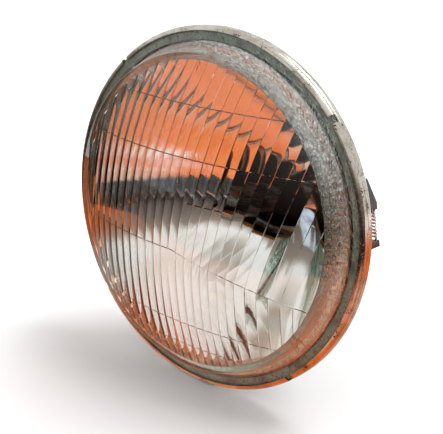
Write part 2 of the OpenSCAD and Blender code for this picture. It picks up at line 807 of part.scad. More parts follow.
// Three stiff wires stand in the stem and carry the filaments and the shield.
module filament_posts() {
    posts_back_y = stem_front_y + post_depth;
    color(steel) {
        bar_y(-post_x, side_post_z, post_r, main_filament_y, posts_back_y);
        bar_y(post_x, side_post_z, post_r, dip_filament_y, posts_back_y);
        bar_y(0, post_z_of(0), post_r, dip_y, posts_back_y);
        // A short arm runs from each side post to the front end of its filament
        for (arm = [[-1, main_filament_y], [1, dip_filament_y]])
            block_y(arm[0] * (post_x + arm_inset) / 2, side_post_z - arm_h / 2, post_x - arm_inset, arm_h,
                    arm[1] - arm_t, arm[1]);
    }
}

module main_filament() {
    color(tungsten) bar_y(0, side_post_z, filament_r, main_filament_y, main_filament_y + filament_l);
}

module dip_filament() {
    color(tungsten) bar_y(0, side_post_z, filament_r, dip_filament_y, dip_filament_y + filament_l);
}

// The shield is half a cup under the dip filament.
module dip_shield() {
    color(bright) difference() {
        bar_y(0, shield_z, shield_r, dip_y - shield_l / 2, dip_y + shield_l / 2);
        bar_y(0, shield_z, shield_r - shield_t, dip_y - shield_l / 2 + shield_t, dip_y + shield_l);
        block_y(0, shield_z + shield_r, 2 * shield_r + 2, 2 * shield_r, dip_y - shield_l, dip_y + shield_l);
    }
}

module bulb_shell() {
    color(steel) difference() {
        bar_y(0, 0, shell_r, shell_front_y, shell_back_y);
        bar_y(0, 0, bulb_r, shell_front_y - past, shell_front_y + glass_seat_l);
        bar_y(0, 0, shell_r - shell_t, shell_front_y + glass_seat_l, shell_back_y + past);
    }
}

// The flange has three tabs, one of them wider, so the bulb goes in only one way round.
tab_reach = 1.5;
wide_tab = 8;
narrow_tab = 6;
module bulb_flange() {
    color(steel) difference() {
        union() {
            bar_y(0, 0, bulb_flange_r - tab_reach, seat_back_y, bulb_flange_back_y);
            for (a = [90, 210, 330]) round_lamp(a)
                block_y(bulb_flange_r / 2, 0, bulb_flange_r, a == 90 ? wide_tab : narrow_tab,
                        seat_back_y, bulb_flange_back_y);
        }
        bar_y(0, 0, shell_r, seat_back_y - past, bulb_flange_back_y + past);
    }
}

// Each blade's X, Z and turn: one lies across the top, two stand at the sides.
top_blade_z = 5.76;
side_blade_x = 6.4;
side_blade_z = -1.5;
blades = [[0, top_blade_z, 0], [-side_blade_x, side_blade_z, 90], [side_blade_x, side_blade_z, 90]];
blade_depth = 3;
blade_hole_r = 0.9;
blade_hole_at = 3;

module blade_solid(place) {
    translate([place[0], 0, place[1]]) rotate([0, place[2], 0])
        block_y(0, 0, blade_w, blade_t, base_back_y - blade_depth, base_back_y + blade_l);
}

module bulb_base() {
    color(black_plastic) difference() {
        union() {
            bar_y(0, 0, shell_r - shell_t, base_front_y, shell_back_y);
            bar_y(0, 0, shell_r, shell_back_y, base_back_y);
        }
        for (place = blades) blade_solid(place);
    }
}

module main_terminal() { color(brass) blade(blades[0]); }
module dip_terminal() { color(brass) blade(blades[1]); }
module earth_terminal() { color(brass) blade(blades[2]); }

// A blade has a round hole near its end.
module blade(place) {
    difference() {
        blade_solid(place);
        translate([place[0], base_back_y + blade_l - blade_hole_at, place[1]]) rotate([0, place[2], 0])
            translate([0, 0, -past]) cylinder(r = blade_hole_r, h = 2 * past);
    }
}

lens();
lens_seal();
rim();
reflector();
mounting_ring();
ring_rivets();
pivot_bracket();
pull_spring();
upper_bracket();
upper_screw();
upper_spring();
upper_circlip();
upper_nut();
lower_bracket();
lower_screw();
lower_spring();
lower_circlip();
lower_nut();
bulb_seat_ring();
seat_rivets();
clip_hinge_bracket();
clip_keeper();
bulb_clip();
bulb_glass();
bulb_stem();
filament_posts();
main_filament();
dip_filament();
dip_shield();
bulb_shell();
bulb_flange();
bulb_base();
main_terminal();
dip_terminal();
earth_terminal();
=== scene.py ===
# %% [markdown]
# # A round headlight, dressed in Blender
#
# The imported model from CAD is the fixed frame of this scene. Its pieces have the right sizes and places.
# This lesson gives each of them the surface and the finish of the real lamp: pressed glass with flutes,
# a mirror bowl, a rolled bright rim, and the small parts behind.
# All lengths are in metres, the lamp's axis is Y, and it shines towards -Y.

# %% Load the frame
import json
import math

import bpy
from mathutils import Matrix, Vector, noise

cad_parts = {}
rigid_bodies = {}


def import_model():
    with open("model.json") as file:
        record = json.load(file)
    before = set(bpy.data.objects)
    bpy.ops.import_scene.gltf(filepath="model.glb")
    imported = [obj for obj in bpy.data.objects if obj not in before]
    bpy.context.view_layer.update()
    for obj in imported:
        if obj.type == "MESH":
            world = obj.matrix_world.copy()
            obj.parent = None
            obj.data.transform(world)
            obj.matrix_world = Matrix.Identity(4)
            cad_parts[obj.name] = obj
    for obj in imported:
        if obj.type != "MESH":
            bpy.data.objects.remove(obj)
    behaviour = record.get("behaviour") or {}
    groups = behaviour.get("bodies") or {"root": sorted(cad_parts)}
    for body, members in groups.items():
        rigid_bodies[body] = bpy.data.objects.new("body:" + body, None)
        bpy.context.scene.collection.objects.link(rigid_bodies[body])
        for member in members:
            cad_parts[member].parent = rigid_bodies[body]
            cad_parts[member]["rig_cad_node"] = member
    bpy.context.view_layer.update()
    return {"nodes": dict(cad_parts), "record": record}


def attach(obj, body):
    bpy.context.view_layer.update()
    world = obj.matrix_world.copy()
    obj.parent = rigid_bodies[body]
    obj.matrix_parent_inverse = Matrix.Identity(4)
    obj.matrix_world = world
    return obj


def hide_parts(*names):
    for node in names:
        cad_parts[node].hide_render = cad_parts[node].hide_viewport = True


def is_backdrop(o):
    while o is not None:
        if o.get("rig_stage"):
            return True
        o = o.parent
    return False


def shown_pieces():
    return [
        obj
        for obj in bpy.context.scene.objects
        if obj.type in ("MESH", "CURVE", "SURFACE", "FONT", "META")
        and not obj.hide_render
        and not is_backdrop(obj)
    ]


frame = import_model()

nodes = frame["nodes"]
record = frame["record"]
body_of = {node: body for body, group in record["behaviour"]["bodies"].items() for node in group}
mm = 0.001

# %% [markdown]
# The camera comes first, because everything is judged from where it stands.
# It was found by fitting the ellipses of the rim and of the dome's edge, which gives a turn to the right,
# a height, a small roll and a distance. A camera looks along its own -Z, so its matrix has the
# right, up and back directions as columns.

# %% Camera
camera_turn = math.radians(38.692)
camera_rise = math.radians(17.575)
camera_roll = math.radians(3.767)
camera_distance = 418.3 * mm
look_at = Vector((9.9, -3.3, 0.5)) * mm

back = Vector((math.sin(camera_turn) * math.cos(camera_rise),
               -math.cos(camera_turn) * math.cos(camera_rise),
               math.sin(camera_rise)))
level = Vector((math.cos(camera_turn), math.sin(camera_turn), 0))
upright = back.cross(level)
right = math.cos(camera_roll) * level + math.sin(camera_roll) * upright
up = math.cos(camera_roll) * upright - math.sin(camera_roll) * level

camera_data = bpy.data.cameras.new("camera")
camera_data.sensor_width = 36
camera_data.lens = 71.32
camera_data.clip_start = 0.01
camera = bpy.data.objects.new("camera", camera_data)
turn = Matrix((right, up, back)).transposed().to_4x4()
camera.matrix_world = Matrix.Translation(look_at + camera_distance * back) @ turn
bpy.context.scene.collection.objects.link(camera)
bpy.context.scene.camera = camera
print("camera at", [round(x, 4) for x in camera.location])

# %% [markdown]
# Colours are written as they look on a screen, in hex. Blender's shaders want linear light, so one
# function converts them. Another adds a node with its settings and links. A noise pattern's Scale is one
# over the size of its features, which is given in millimetres.

# %% Colour and node helpers


def colour(hex_code):
    """The linear colour of an sRGB hex code, with full alpha."""
    parts = [int(hex_code[i:i + 2], 16) / 255 for i in (1, 3, 5)]
    linear = [c / 12.92 if c <= 0.04045 else ((c + 0.055) / 1.055) ** 2.4 for c in parts]
    return (*linear, 1.0)


def add_node(tree, kind, settings=None, inputs=None, stops=()):
    """Adds a node. An input that is a socket is linked, any other is set, and stops fill a colour ramp."""
    node = tree.nodes.new(kind)
    for name, value in (settings or {}).items():
        setattr(node, name, value)
    for name, value in (inputs or {}).items():
        if isinstance(value, bpy.types.NodeSocket):
            tree.links.new(value, node.inputs[name])
        else:
            node.inputs[name].default_value = value
    for i, (position, code) in enumerate(stops):
        band = node.color_ramp.elements
        element = band[i] if i < 2 else band.new(position)
        element.position = position
        element.color = colour(code)
    return node


def finish(name, **values):
    """A new material, its node tree, its shader with these values set, and Object coordinates."""
    material = bpy.data.materials.new(name)
    material.use_nodes = True
    shader = material.node_tree.nodes["Principled BSDF"]
    for socket, value in values.items():
        shader.inputs[socket.replace("_", " ")].default_value = value
    coords = add_node(material.node_tree, "ShaderNodeTexCoord").outputs["Object"]
    return material, material.node_tree, shader, coords


def feed(shader, **sockets):
    """Links outputs to the shader's sockets by name."""
    for socket, output in sockets.items():
        shader.id_data.links.new(output, shader.inputs[socket.replace("_", " ")])


# %% [markdown]
# The lamp stands on the edge of its rim on a plain pale floor. A soft light hangs above it on the right.
# A mirror and clear glass show their surroundings rather than themselves, so those surroundings are part
# of the picture. In the photograph the bowl mirrors a terracotta table top, dark surroundings beyond its
# edge, a bluish window, and pale daylight above. They are staged as cards that only reflections see.

# %% Stage helpers
floor_z = -89.0 * mm
card_z = floor_z + 1 * mm


def only(obj):
    """Leaves object mode with just this object selected and active."""
    if bpy.context.object and bpy.context.object.mode != "OBJECT":
        bpy.ops.object.mode_set(mode="OBJECT")
    bpy.ops.object.select_all(action="DESELECT")
    obj.select_set(True)
    bpy.context.view_layer.objects.active = obj


def edit(obj):
    """Enters edit mode with all of the mesh selected."""
    only(obj)
    bpy.ops.object.mode_set(mode="EDIT")
    bpy.ops.mesh.select_all(action="SELECT")


def apply_place(obj):
    """Moves an object's place into its mesh, so that its own coordinates are the lamp's."""
    only(obj)
    bpy.ops.object.transform_apply(location=True, rotation=True, scale=True)


def card(name, low, high, z):
    """A level card between two corners, given as (x, y) in metres."""
    bpy.ops.mesh.primitive_plane_add(size=1, location=((low[0] + high[0]) / 2, (low[1] + high[1]) / 2, z))
    obj = bpy.context.object
    obj.name = name
    obj.scale = (high[0] - low[0], high[1] - low[1], 1)
    apply_place(obj)
    return obj


def mirrored_only(obj, material):
    """Stages a surface that only reflections and the glass see."""
    obj.data.materials.append(material)
    for kind in ("camera", "diffuse", "glossy", "transmission", "volume_scatter", "shadow"):
        setattr(obj, "visible_" + kind, kind in ("glossy", "transmission"))
    obj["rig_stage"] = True


def glow(name, strength=1.0):
    """A material that only gives out light: its colour when mirrored, plain light after a matt surface."""
    material = bpy.data.materials.new(name)
    material.use_nodes = True
    tree = material.node_tree
    tree.nodes.clear()
    light = add_node(tree, "ShaderNodeEmission", inputs={"Strength": strength})
    plain_light = add_node(tree, "ShaderNodeEmission", inputs={"Strength": 0.7})
    after_matt = add_node(tree, "ShaderNodeLightPath").outputs["Diffuse Depth"]
    surface = add_node(tree, "ShaderNodeMixShader",
                       inputs={0: after_matt, 1: light.outputs[0], 2: plain_light.outputs[0]})
    feed(add_node(tree, "ShaderNodeOutputMaterial"), Surface=surface.outputs[0])
    return material, tree, light, add_node(tree, "ShaderNodeTexCoord").outputs["Object"]


def spot(coords, centre, reach):
    """A soft round spot: 1 at its centre and 0 at its reach, both in millimetres."""
    place = add_node(coords.id_data, "ShaderNodeMapping", {"vector_type": "TEXTURE"},
                     {"Vector": coords, "Location": Vector(centre) * mm, "Scale": Vector(reach) * mm})
    ball = add_node(coords.id_data, "ShaderNodeTexGradient", {"gradient_type": "SPHERICAL"},
                    {"Vector": place.outputs["Vector"]})
    return add_node(coords.id_data, "ShaderNodeMapRange", {"interpolation_type": "SMOOTHSTEP"},
                    {"Value": ball.outputs["Fac"], "From Max": 0.8}).outputs["Result"]


# %% Floor
# Its colour takes the soft light and the lamp's shadow. Away from the lamp, what the camera and the mirrors
# see of it gets a little more light, so that the paper stays white.
floor = card("floor", (-8, -8), (8, 8), floor_z)
floor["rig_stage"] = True
paper, tree, shader, coords = finish("floor_paper", Base_Color=colour("#f2f2f2"), Roughness=0.9)
paper_rays = add_node(tree, "ShaderNodeLightPath").outputs
paper_seen = add_node(tree, "ShaderNodeMath", {"operation": "MAXIMUM"},
                      {0: paper_rays["Is Camera Ray"], 1: paper_rays["Is Glossy Ray"]}).outputs[0]
paper_seen = add_node(tree, "ShaderNodeMath", {"operation": "MAXIMUM"},
                      {0: paper_seen, 1: paper_rays["Is Transmission Ray"]}).outputs[0]
paper_far = add_node(tree, "ShaderNodeVectorMath", {"operation": "LENGTH"}, {0: coords})
paper_grown = add_node(tree, "ShaderNodeMapRange", {"interpolation_type": "SMOOTHSTEP"},
                       {"Value": paper_far.outputs["Value"], "From Min": 0.10, "From Max": 0.23,
                        "To Max": 0.5}).outputs["Result"]
shader.inputs["Emission Color"].default_value = colour("#ffffff")
extra_light = add_node(tree, "ShaderNodeMath", {"operation": "MULTIPLY"},
                       {0: paper_seen, 1: paper_grown}).outputs[0]
feed(shader, Emission_Strength=extra_light)
floor.data.materials.append(paper)

# %% Table card
# Its front edge draws the sharp line across the mirrored picture. The pale spots are light on the table.
table_front_y = -0.172
table = card("table_card", (-0.6, table_front_y), (0.8, 0.6), card_z)
terracotta, tree, light, coords = glow("terracotta_card", 1.1)
pattern = add_node(tree, "ShaderNodeTexNoise",
                   inputs={"Vector": coords, "Scale": 1 / (60 * mm), "Detail": 3.0}).outputs["Fac"]
clay = add_node(tree, "ShaderNodeValToRGB", inputs={"Fac": pattern},
                stops=[(0.3, "#e76c2e"), (0.7, "#fd8640")]).outputs["Color"]
spot_height = 400
spots = [((60, -70), (45, 20), "#fff1ea"), ((70, -105), (42, 34), "#f6b8aa"),
         ((-140, -50), (85, 110), "#f4ede3"), ((175, -60), (85, 55), "#efe9e2"),
         ((115, -122), (22, 24), "#efe6dc"), ((0, 50), (140, 85), "#cdc6b8"),
         ((230, -130), (150, 60), "#e3cdbb"), ((150, 90), (120, 90), "#d6cfc4")]
for centre, reach, code in spots:
    lit = spot(coords, (*centre, 0), (*reach, spot_height))
    clay = add_node(tree, "ShaderNodeMix", {"data_type": "RGBA"},
                    {0: lit, 6: clay, 7: colour(code)}).outputs[2]
feed(light, Color=clay)
mirrored_only(table, terracotta)

# %% Dark surroundings
# Beyond the table's edge it is dark below, and brown-grey higher up, with a soft top against the daylight.
wall_r = 0.30
wall_high = 0.150
dark_floor = card("dark_floor_card", (-0.6, -0.6), (0.8, table_front_y - 0.0001), card_z)
bpy.ops.mesh.primitive_cylinder_add(vertices=96, radius=wall_r, depth=wall_high - floor_z,
                                    end_fill_type="NOTHING", location=(0, 0, (wall_high + floor_z) / 2))
wall = bpy.context.object
wall.name = "dark_wall_card"
apply_place(wall)
edit(wall)
bpy.ops.mesh.bisect(plane_co=(0, -0.01, 0), plane_no=(0, 1, 0), clear_outer=True)
bpy.ops.object.mode_set(mode="OBJECT")

dusk, tree, light, coords = glow("dark_surroundings_card")
height = add_node(tree, "ShaderNodeSeparateXYZ", inputs={0: coords}).outputs["Z"]
share = add_node(tree, "ShaderNodeMapRange",
                 inputs={"Value": height, "From Min": floor_z, "From Max": wall_high}).outputs["Result"]
dusk_colour = add_node(tree, "ShaderNodeValToRGB", inputs={"Fac": share},
                       stops=[(0.0, "#141112"), (0.27, "#191514"), (0.36, "#4a3f39"), (0.5, "#75665e"),
                              (0.8, "#a2968c")]).outputs["Color"]
feed(light, Color=dusk_colour)
pattern = add_node(tree, "ShaderNodeTexNoise",
                   inputs={"Vector": coords, "Scale": 1 / (50 * mm), "Detail": 2.0}).outputs["Fac"]
ragged = add_node(tree, "ShaderNodeMath", {"operation": "MULTIPLY_ADD"},
                  {0: pattern, 1: 60 * mm, 2: height}).outputs[0]
open_sky = add_node(tree, "ShaderNodeMapRange", {"interpolation_type": "SMOOTHSTEP"},
                    {"Value": ragged, "From Min": 120 * mm, "From Max": 162 * mm}).outputs["Result"]
clear = add_node(tree, "ShaderNodeBsdfTransparent")
veil = add_node(tree, "ShaderNodeMixShader", inputs={
    0: open_sky, 1: tree.nodes["Mix Shader"].outputs[0], 2: clear.outputs[0]})
feed(tree.nodes["Material Output"], Surface=veil.outputs[0])
mirrored_only(dark_floor, dusk)
mirrored_only(wall, dusk)

# %% Window card
# A small bluish window stands low in front of the lamp, on its left in the picture.
bpy.ops.mesh.primitive_plane_add(size=1, location=(-0.185, -0.203, 0.016),
                                 rotation=(math.pi / 2, 0, math.radians(-45)))
window = bpy.context.object
window.name = "window_card"
window.scale = (0.075, 0.08, 1)
apply_place(window)
daylight, tree, light, coords = glow("bluish_window_card")
pattern = add_node(tree, "ShaderNodeTexNoise",
                   inputs={"Vector": coords, "Scale": 1 / (18 * mm), "Detail": 1.0}).outputs["Fac"]
tinted = add_node(tree, "ShaderNodeValToRGB", inputs={"Fac": pattern},
                  stops=[(0.3, "#8fa9cf"), (0.6, "#e3eefc")]).outputs["Color"]
feed(light, Color=tinted)
mirrored_only(window, daylight)

# %% Light and world
lamp_data = bpy.data.lights.new("soft_light", "AREA")
lamp_data.energy = 9
lamp_data.size = 0.6
lamp = bpy.data.objects.new("soft_light", lamp_data)
lamp.location = (0.35, 0.25, 1.15)
lamp.rotation_euler = (Vector((0, 0, 0)) - lamp.location).to_track_quat("-Z", "Y").to_euler()
bpy.context.scene.collection.objects.link(lamp)

world = bpy.data.worlds.new("daylight")
bpy.context.scene.world = world
world.use_nodes = True
sky_tree = world.node_tree
sky_tree.nodes.clear()
sky_rays = add_node(sky_tree, "ShaderNodeLightPath").outputs
mirrored = add_node(sky_tree, "ShaderNodeMath", {"operation": "MAXIMUM"},
                    {0: sky_rays["Is Glossy Ray"], 1: sky_rays["Is Transmission Ray"]}).outputs[0]
seen = add_node(sky_tree, "ShaderNodeMath", {"operation": "MAXIMUM"},
                {0: mirrored, 1: sky_rays["Is Camera Ray"]}).outputs[0]
strength = add_node(sky_tree, "ShaderNodeMapRange",
                    inputs={"Value": seen, "To Min": 0.75}).outputs["Result"]
# The daylight that mirrors and glass see has soft clouds in it, and two grey hazes in front of the lamp
sky_coords = add_node(sky_tree, "ShaderNodeTexCoord").outputs["Generated"]
clouds = add_node(sky_tree, "ShaderNodeTexNoise", inputs={"Vector": sky_coords, "Scale": 2.6, "Detail": 2.0})
hazy = add_node(sky_tree, "ShaderNodeValToRGB", inputs={"Fac": clouds.outputs["Fac"]},
                stops=[(0.3, "#ebe5dc"), (0.44, "#fdfbf8"), (0.56, "#ffffff")]).outputs["Color"]
for toward, reach, code in [((-360, -920, 130), (380, 280, 200), "#a39a9b"),
                            ((-130, -750, 640), (420, 380, 300), "#b5b0a6")]:
    hazy = add_node(sky_tree, "ShaderNodeMix", {"data_type": "RGBA"},
                    {0: spot(sky_coords, toward, reach), 6: hazy, 7: colour(code)}).outputs[2]
shown = add_node(sky_tree, "ShaderNodeMix", {"data_type": "RGBA"},
                 {0: mirrored, 6: colour("#ffffff"), 7: hazy}).outputs[2]
sky = add_node(sky_tree, "ShaderNodeBackground", inputs={"Color": shown, "Strength": strength})
feed(add_node(sky_tree, "ShaderNodeOutputWorld"), Surface=sky.outputs[0])

bpy.context.scene.view_settings.view_transform = "Standard"

# %% [markdown]
# Most of this lamp is round, so most of its pieces are turned: a half section is drawn as radius and
# station, and the spin operator sweeps it round the lamp's axis. The section starts as a primitive
# circle with as many points as the outline has, and its points are put in place in code.

# %% Editing helpers


def faces_out():
    """Turns all faces of the mesh in edit mode outwards, and goes back to object mode."""
    bpy.ops.mesh.select_all(action="SELECT")
    bpy.ops.mesh.normals_make_consistent(inside=False)
    bpy.ops.object.mode_set(mode="OBJECT")


def smooth(obj, angle=30):
    only(obj)
    bpy.ops.object.shade_smooth_by_angle(angle=math.radians(angle))


def apply_modifier(obj, kind, **settings):
    only(obj)
    modifier = obj.modifiers.new(kind.lower(), kind)
    for name, value in settings.items():
        setattr(modifier, name, value)
    bpy.ops.object.modifier_apply(modifier=modifier.name)


def cut(obj, tool, operation="DIFFERENCE"):
    """Applies a boolean with a tool, which is then removed."""
    apply_modifier(obj, "BOOLEAN", object=tool, operation=operation, solver="EXACT")
    bpy.data.objects.remove(tool)


def joined(objects, name):
    bpy.ops.object.select_all(action="DESELECT")
    for obj in objects:
        obj.select_set(True)
    bpy.context.view_layer.objects.active = objects[0]
    bpy.ops.object.join()
    objects[0].name = name
    return objects[0]


def rounded(points, radii, steps=4):
    """The closed outline with each corner of a radius above zero turned into a small arc."""
    out = []
    count = len(points)
    for i, (point, radius) in enumerate(zip(points, radii)):
        here = Vector(point)
        before = Vector(points[i - 1]) - here
        after = Vector(points[(i + 1) % count]) - here
        if radius == 0:
            out.append(tuple(here))
            continue
        half = before.angle(after) / 2
        reach = min(radius / math.tan(half), before.length * 0.48, after.length * 0.48)
        a = here + before.normalized() * reach
        b = here + after.normalized() * reach
        for k in range(steps + 1):
            t = k / steps
            out.append(tuple((1 - t) ** 2 * a + 2 * t * (1 - t) * here + t * t * b))
    return out


def plotted(points, fill="NOTHING"):
    """A closed outline through points in mm, from a primitive circle with as many vertices."""
    bpy.ops.object.select_all(action="DESELECT")
    bpy.ops.mesh.primitive_circle_add(vertices=len(points), radius=0.01, fill_type=fill)
    obj = bpy.context.object
    for vertex, point in zip(obj.data.vertices, points):
        vertex.co = [c * mm for c in point]
    return obj


def turned(name, section, steps=192):
    """Spins a closed half section, given as (radius, station) in mm, round the lamp's axis."""
    obj = plotted([(r, y, 0) for r, y in section])
    obj.name = name
    edit(obj)
    bpy.ops.mesh.spin(steps=steps, angle=2 * math.pi, center=(0, 0, 0), axis=(0, 1, 0))
    bpy.ops.mesh.select_all(action="SELECT")
    bpy.ops.mesh.remove_doubles(threshold=1e-6)
    bpy.ops.mesh.delete_loose()
    faces_out()
    return obj


def box_tool(low, high):
    """A box between two corners in mm, as a cutting tool."""
    low, high = Vector(low) * mm, Vector(high) * mm
    bpy.ops.object.select_all(action="DESELECT")
    bpy.ops.mesh.primitive_cube_add(size=1, location=(low + high) / 2)
    obj = bpy.context.object
    obj.scale = high - low
    apply_place(obj)
    return obj


def round_lamp(obj, angle):
    """Turns an object made at +X about the lamp's axis, by an angle from +X towards +Z."""
    obj.data.transform(Matrix.Rotation(math.radians(-angle), 4, "Y"))
    return obj


def where(face):
    """A face's radius and station in mm, and how much it looks away from the axis, from -1 to 1."""
    centre = face.center / mm
    r = math.hypot(centre.x, centre.z)
    return r, centre.y, (face.normal.x * centre.x + face.normal.z * centre.z) / r


def dress(obj, node, *materials):
    """Gives a finished piece its materials, and puts it in the place of its CAD node."""
    for material in materials:
        obj.data.materials.append(material)
    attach(obj, body_of[node])
    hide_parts(node)
    return obj


# %% [markdown]
# The lens is pressed glass. Its outside is a smooth dome that ends in a sloping wall and a flat flange.
# Its inside carries flutes, which spread the beam sideways: each is a rounded rib, and the ribs lean
# by different angles in zones that thin lines divide. The outside is turned, and the fluted air behind the
# glass is taken out of it.

# %% Lens: the turned glass
lens_r = 88.0
dome_r = 77.2
foot_r = 82.3
cavity_r = 73.2
dome_edge_y = -13.2
foot_y = -5.6
flange_edge_y = -3.9
glass_back_y = -1.3
dome_sphere_r = 182.814
dome_centre_y = 152.514


def dome_y(r):
    return dome_centre_y - math.sqrt(dome_sphere_r ** 2 - r * r)


dome_steps = 40
dome_arc = [(dome_r * i / dome_steps, dome_y(dome_r * i / dome_steps)) for i in range(dome_steps)]
lens_corners = [(dome_r, dome_edge_y), (foot_r, foot_y), (lens_r - 0.8, flange_edge_y),
                (lens_r, flange_edge_y + 0.8), (lens_r, glass_back_y), (0, glass_back_y)]
lens_rounding = [1.6, 1.2, 0.4, 0.4, 0.3, 0]
outline = rounded(dome_arc + lens_corners, [0] * dome_steps + lens_rounding, steps=6)
lens = turned("lens_glass", outline, steps=256)
print("lens glass faces:", len(lens.data.polygons))

# %% [markdown]
# A small raised arrow on the dome tells the fitter which way is up. It is a flat outline, extruded through
# the glass's skin, and its front follows the dome. It is joined while the glass is still a simple solid,
# because a boolean is surest on a simple mesh.

# %% Lens: the up arrow
arrow_h = 5.0
arrow_z = dome_r - 2.5 - arrow_h / 2
arrow_bar = 0.11 * arrow_h
arrow_proud = 0.35
arrow_deep = 1.0
arrow_outline = [(0, arrow_h / 2), (3.5 * arrow_bar, 0), (arrow_bar, 0), (arrow_bar, -arrow_h / 2),
                 (-arrow_bar, -arrow_h / 2), (-arrow_bar, 0), (-3.5 * arrow_bar, 0)]
arrow = plotted([(x, 0, arrow_z + z) for x, z in arrow_outline], "NGON")
edit(arrow)
bpy.ops.mesh.extrude_region_move(TRANSFORM_OT_translate={"value": (0, arrow_deep * mm, 0)})
bpy.ops.object.mode_set(mode="OBJECT")
for vertex in arrow.data.vertices:
    skin_y = dome_y(math.hypot(vertex.co.x, vertex.co.z) / mm)
    is_front = vertex.co.y < arrow_deep / 2 * mm
    vertex.co.y = (skin_y - arrow_proud) * mm if is_front else (skin_y + arrow_deep) * mm
edit(arrow)
faces_out()
cut(lens, arrow, "UNION")
print("lens faces with the arrow:", len(lens.data.polygons))

# %% [markdown]
# The flutes are made as one grid of air, with the same number of grid columns to each flute, so that every
# groove has a column of its own and stays sharp. The columns bend where they cross a dividing line, and fan
# out towards the right. Each line between two zones has a row of its own, a little deeper in the glass. The
# grid is thickened backwards into a solid, held to the round cavity, and taken out of the glass.

# %% Lens: zones, leans and ribs
flute_pitch = 5.72
strong_rib_r, middle_rib_r, weak_rib_r = 13.0, 17.0, 60.0
glass_t = 4.0
back_sphere_r = dome_sphere_r - glass_t
line_top, line_upper, line_short = 54, 31, 11.4
line_bend, line_lower, line_bottom = -12.7, -50.2, -62.9
bend_slope = -0.214
short_from, short_to = 9, 30.5
grid_end = 78
levels = [-grid_end, line_bottom, line_lower, line_bend, line_short, line_upper, line_top, grid_end]
bend_level = levels.index(line_bend)
# A zone has the number of the line below it
bulb_zone, short_zone, upper_zone = bend_level, bend_level + 1, bend_level + 2


def level_z(level, x):
    """The height of a dividing line at x. One of the lines bends down on the right."""
    if level == bend_level and x > 0:
        return line_bend + bend_slope * x
    return levels[level]


def column_x(start, z):
    """Where the column that crosses the upper line at start is at height z. Leans are in degrees."""
    fan = min(max((start + 10) / 60, 0), 1)
    bend_z = level_z(bend_level, start - 10 * fan)
    stretches = [(line_upper, line_top, 7 + 5 * fan), (line_top, 99, 10),
                 (bend_z, line_upper, 3 + 12 * fan), (line_bottom, line_lower, -4), (-99, line_bottom, -7)]
    x = start
    for low, high, lean in stretches:
        middle = min(max(z, low), high)
        from_z = low if low >= line_upper else high
        x += (middle - from_z) * math.tan(math.radians(lean))
    return x


def rib_radius(zone, start):
    """The radius of a flute. Beside the bulb and far on the right it is nearly flat."""
    if zone in (bulb_zone, short_zone):
        beside_bulb = zone == bulb_zone and start > short_from
        return weak_rib_r if start > short_to + 3 or beside_bulb else strong_rib_r
    return strong_rib_r if zone == upper_zone else middle_rib_r


# %% Lens: the grid of fluted air
column_places = [0, 0.2, 1.0, 1.9, 2.86, 3.82, 4.72, 5.52]
first_flute, last_flute = -17, 17
columns = (last_flute - first_flute) * len(column_places)
line_half_w = 0.22
line_depth = 0.12
groove_depth = 0.05
row_length = 3.0
middle_flute_x = 0.17
# The grid's corners lie outside the cavity. They are kept in front of the grid's flat back.
grid_limit_y = -5

rows = []
for zone in range(len(levels) - 1):
    parts = math.ceil((levels[zone + 1] - levels[zone]) / row_length)
    rows += [(zone, k / parts) for k in range(parts + 1)]
    rows += [(zone, None)] if zone < len(levels) - 2 else []


def row_z(row, x):
    """The height of a grid row at x. A row without a part is the line above its zone."""
    zone, part = row
    low, high = level_z(zone, x), level_z(zone + 1, x)
    return high if part is None else low + line_half_w + (high - low - 2 * line_half_w) * part


def rib_height(row, place, start, x):
    """How far the glass stands in from the dome's inner face: a rib, a groove beside it, or a line."""
    zone, part = row
    if part is None and (levels[zone + 1] != line_short or short_from < x < short_to):
        return -line_depth
    if place == 0:
        return -groove_depth
    square = rib_radius(zone, start) ** 2
    return math.sqrt(square - (place - flute_pitch / 2) ** 2) - math.sqrt(square - flute_pitch ** 2 / 4)


bpy.ops.object.select_all(action="DESELECT")
bpy.ops.mesh.primitive_grid_add(x_subdivisions=columns, y_subdivisions=len(rows) - 1, size=2)
air = bpy.context.object
for vertex in air.data.vertices:
    flute, place = divmod(round((vertex.co.x + 1) / 2 * columns), len(column_places))
    row = rows[round((vertex.co.y + 1) / 2 * (len(rows) - 1))]
    middle = middle_flute_x + (first_flute + flute + 1) * flute_pitch
    start = middle - flute_pitch / 2 + column_places[place]
    x = column_x(start, row_z(row, start))
    z = row_z(row, x)
    x = column_x(start, z)
    inner_r = back_sphere_r - rib_height(row, column_places[place], middle, x)
    y = dome_centre_y - math.sqrt(inner_r ** 2 - x * x - z * z)
    vertex.co = (x * mm, min(y, grid_limit_y) * mm, z * mm)
print("grid:", columns, "columns,", len(rows), "rows")

# %% Lens: the air is thickened, held to the cavity and taken out of the glass
air_back_y = glass_back_y + 4
cavity_front_y = dome_edge_y - 25
edit(air)
bpy.ops.mesh.extrude_region_move(TRANSFORM_OT_translate={"value": (0, 0.05, 0)})
bpy.ops.transform.resize(value=(1, 0, 1), center_override=(0, air_back_y * mm, 0))
faces_out()
cavity = [(0, cavity_front_y), (cavity_r, cavity_front_y), (cavity_r, 1), (0, 1)]
hollow = turned("cavity", cavity, steps=256)
cut(hollow, air, "INTERSECT")
cut(lens, hollow)
smooth(lens, 9)
print("lens faces after the cut:", len(lens.data.polygons))

# %% [markdown]
# Pressed lamp glass is clear soda glass, with an index of 1.52. It is smooth where it left the polished
# mould, with a slight wave from cooling, and old smears dull it a little. The iron in it gives a thick edge
# its green tint, so the colour is put in its volume, where it grows with the way through the glass.
# The seat behind the flange and the wall of the hollow came from the unpolished part of the mould.

# %% Finish: pressed glass


def tint(glass):
    """Puts the green of the iron in a glass's volume."""
    tree = glass.node_tree
    iron = add_node(tree, "ShaderNodeVolumeAbsorption", inputs={"Color": colour("#b8d8c8"), "Density": 7.0})
    feed(tree.nodes["Material Output"], Volume=iron.outputs["Volume"])


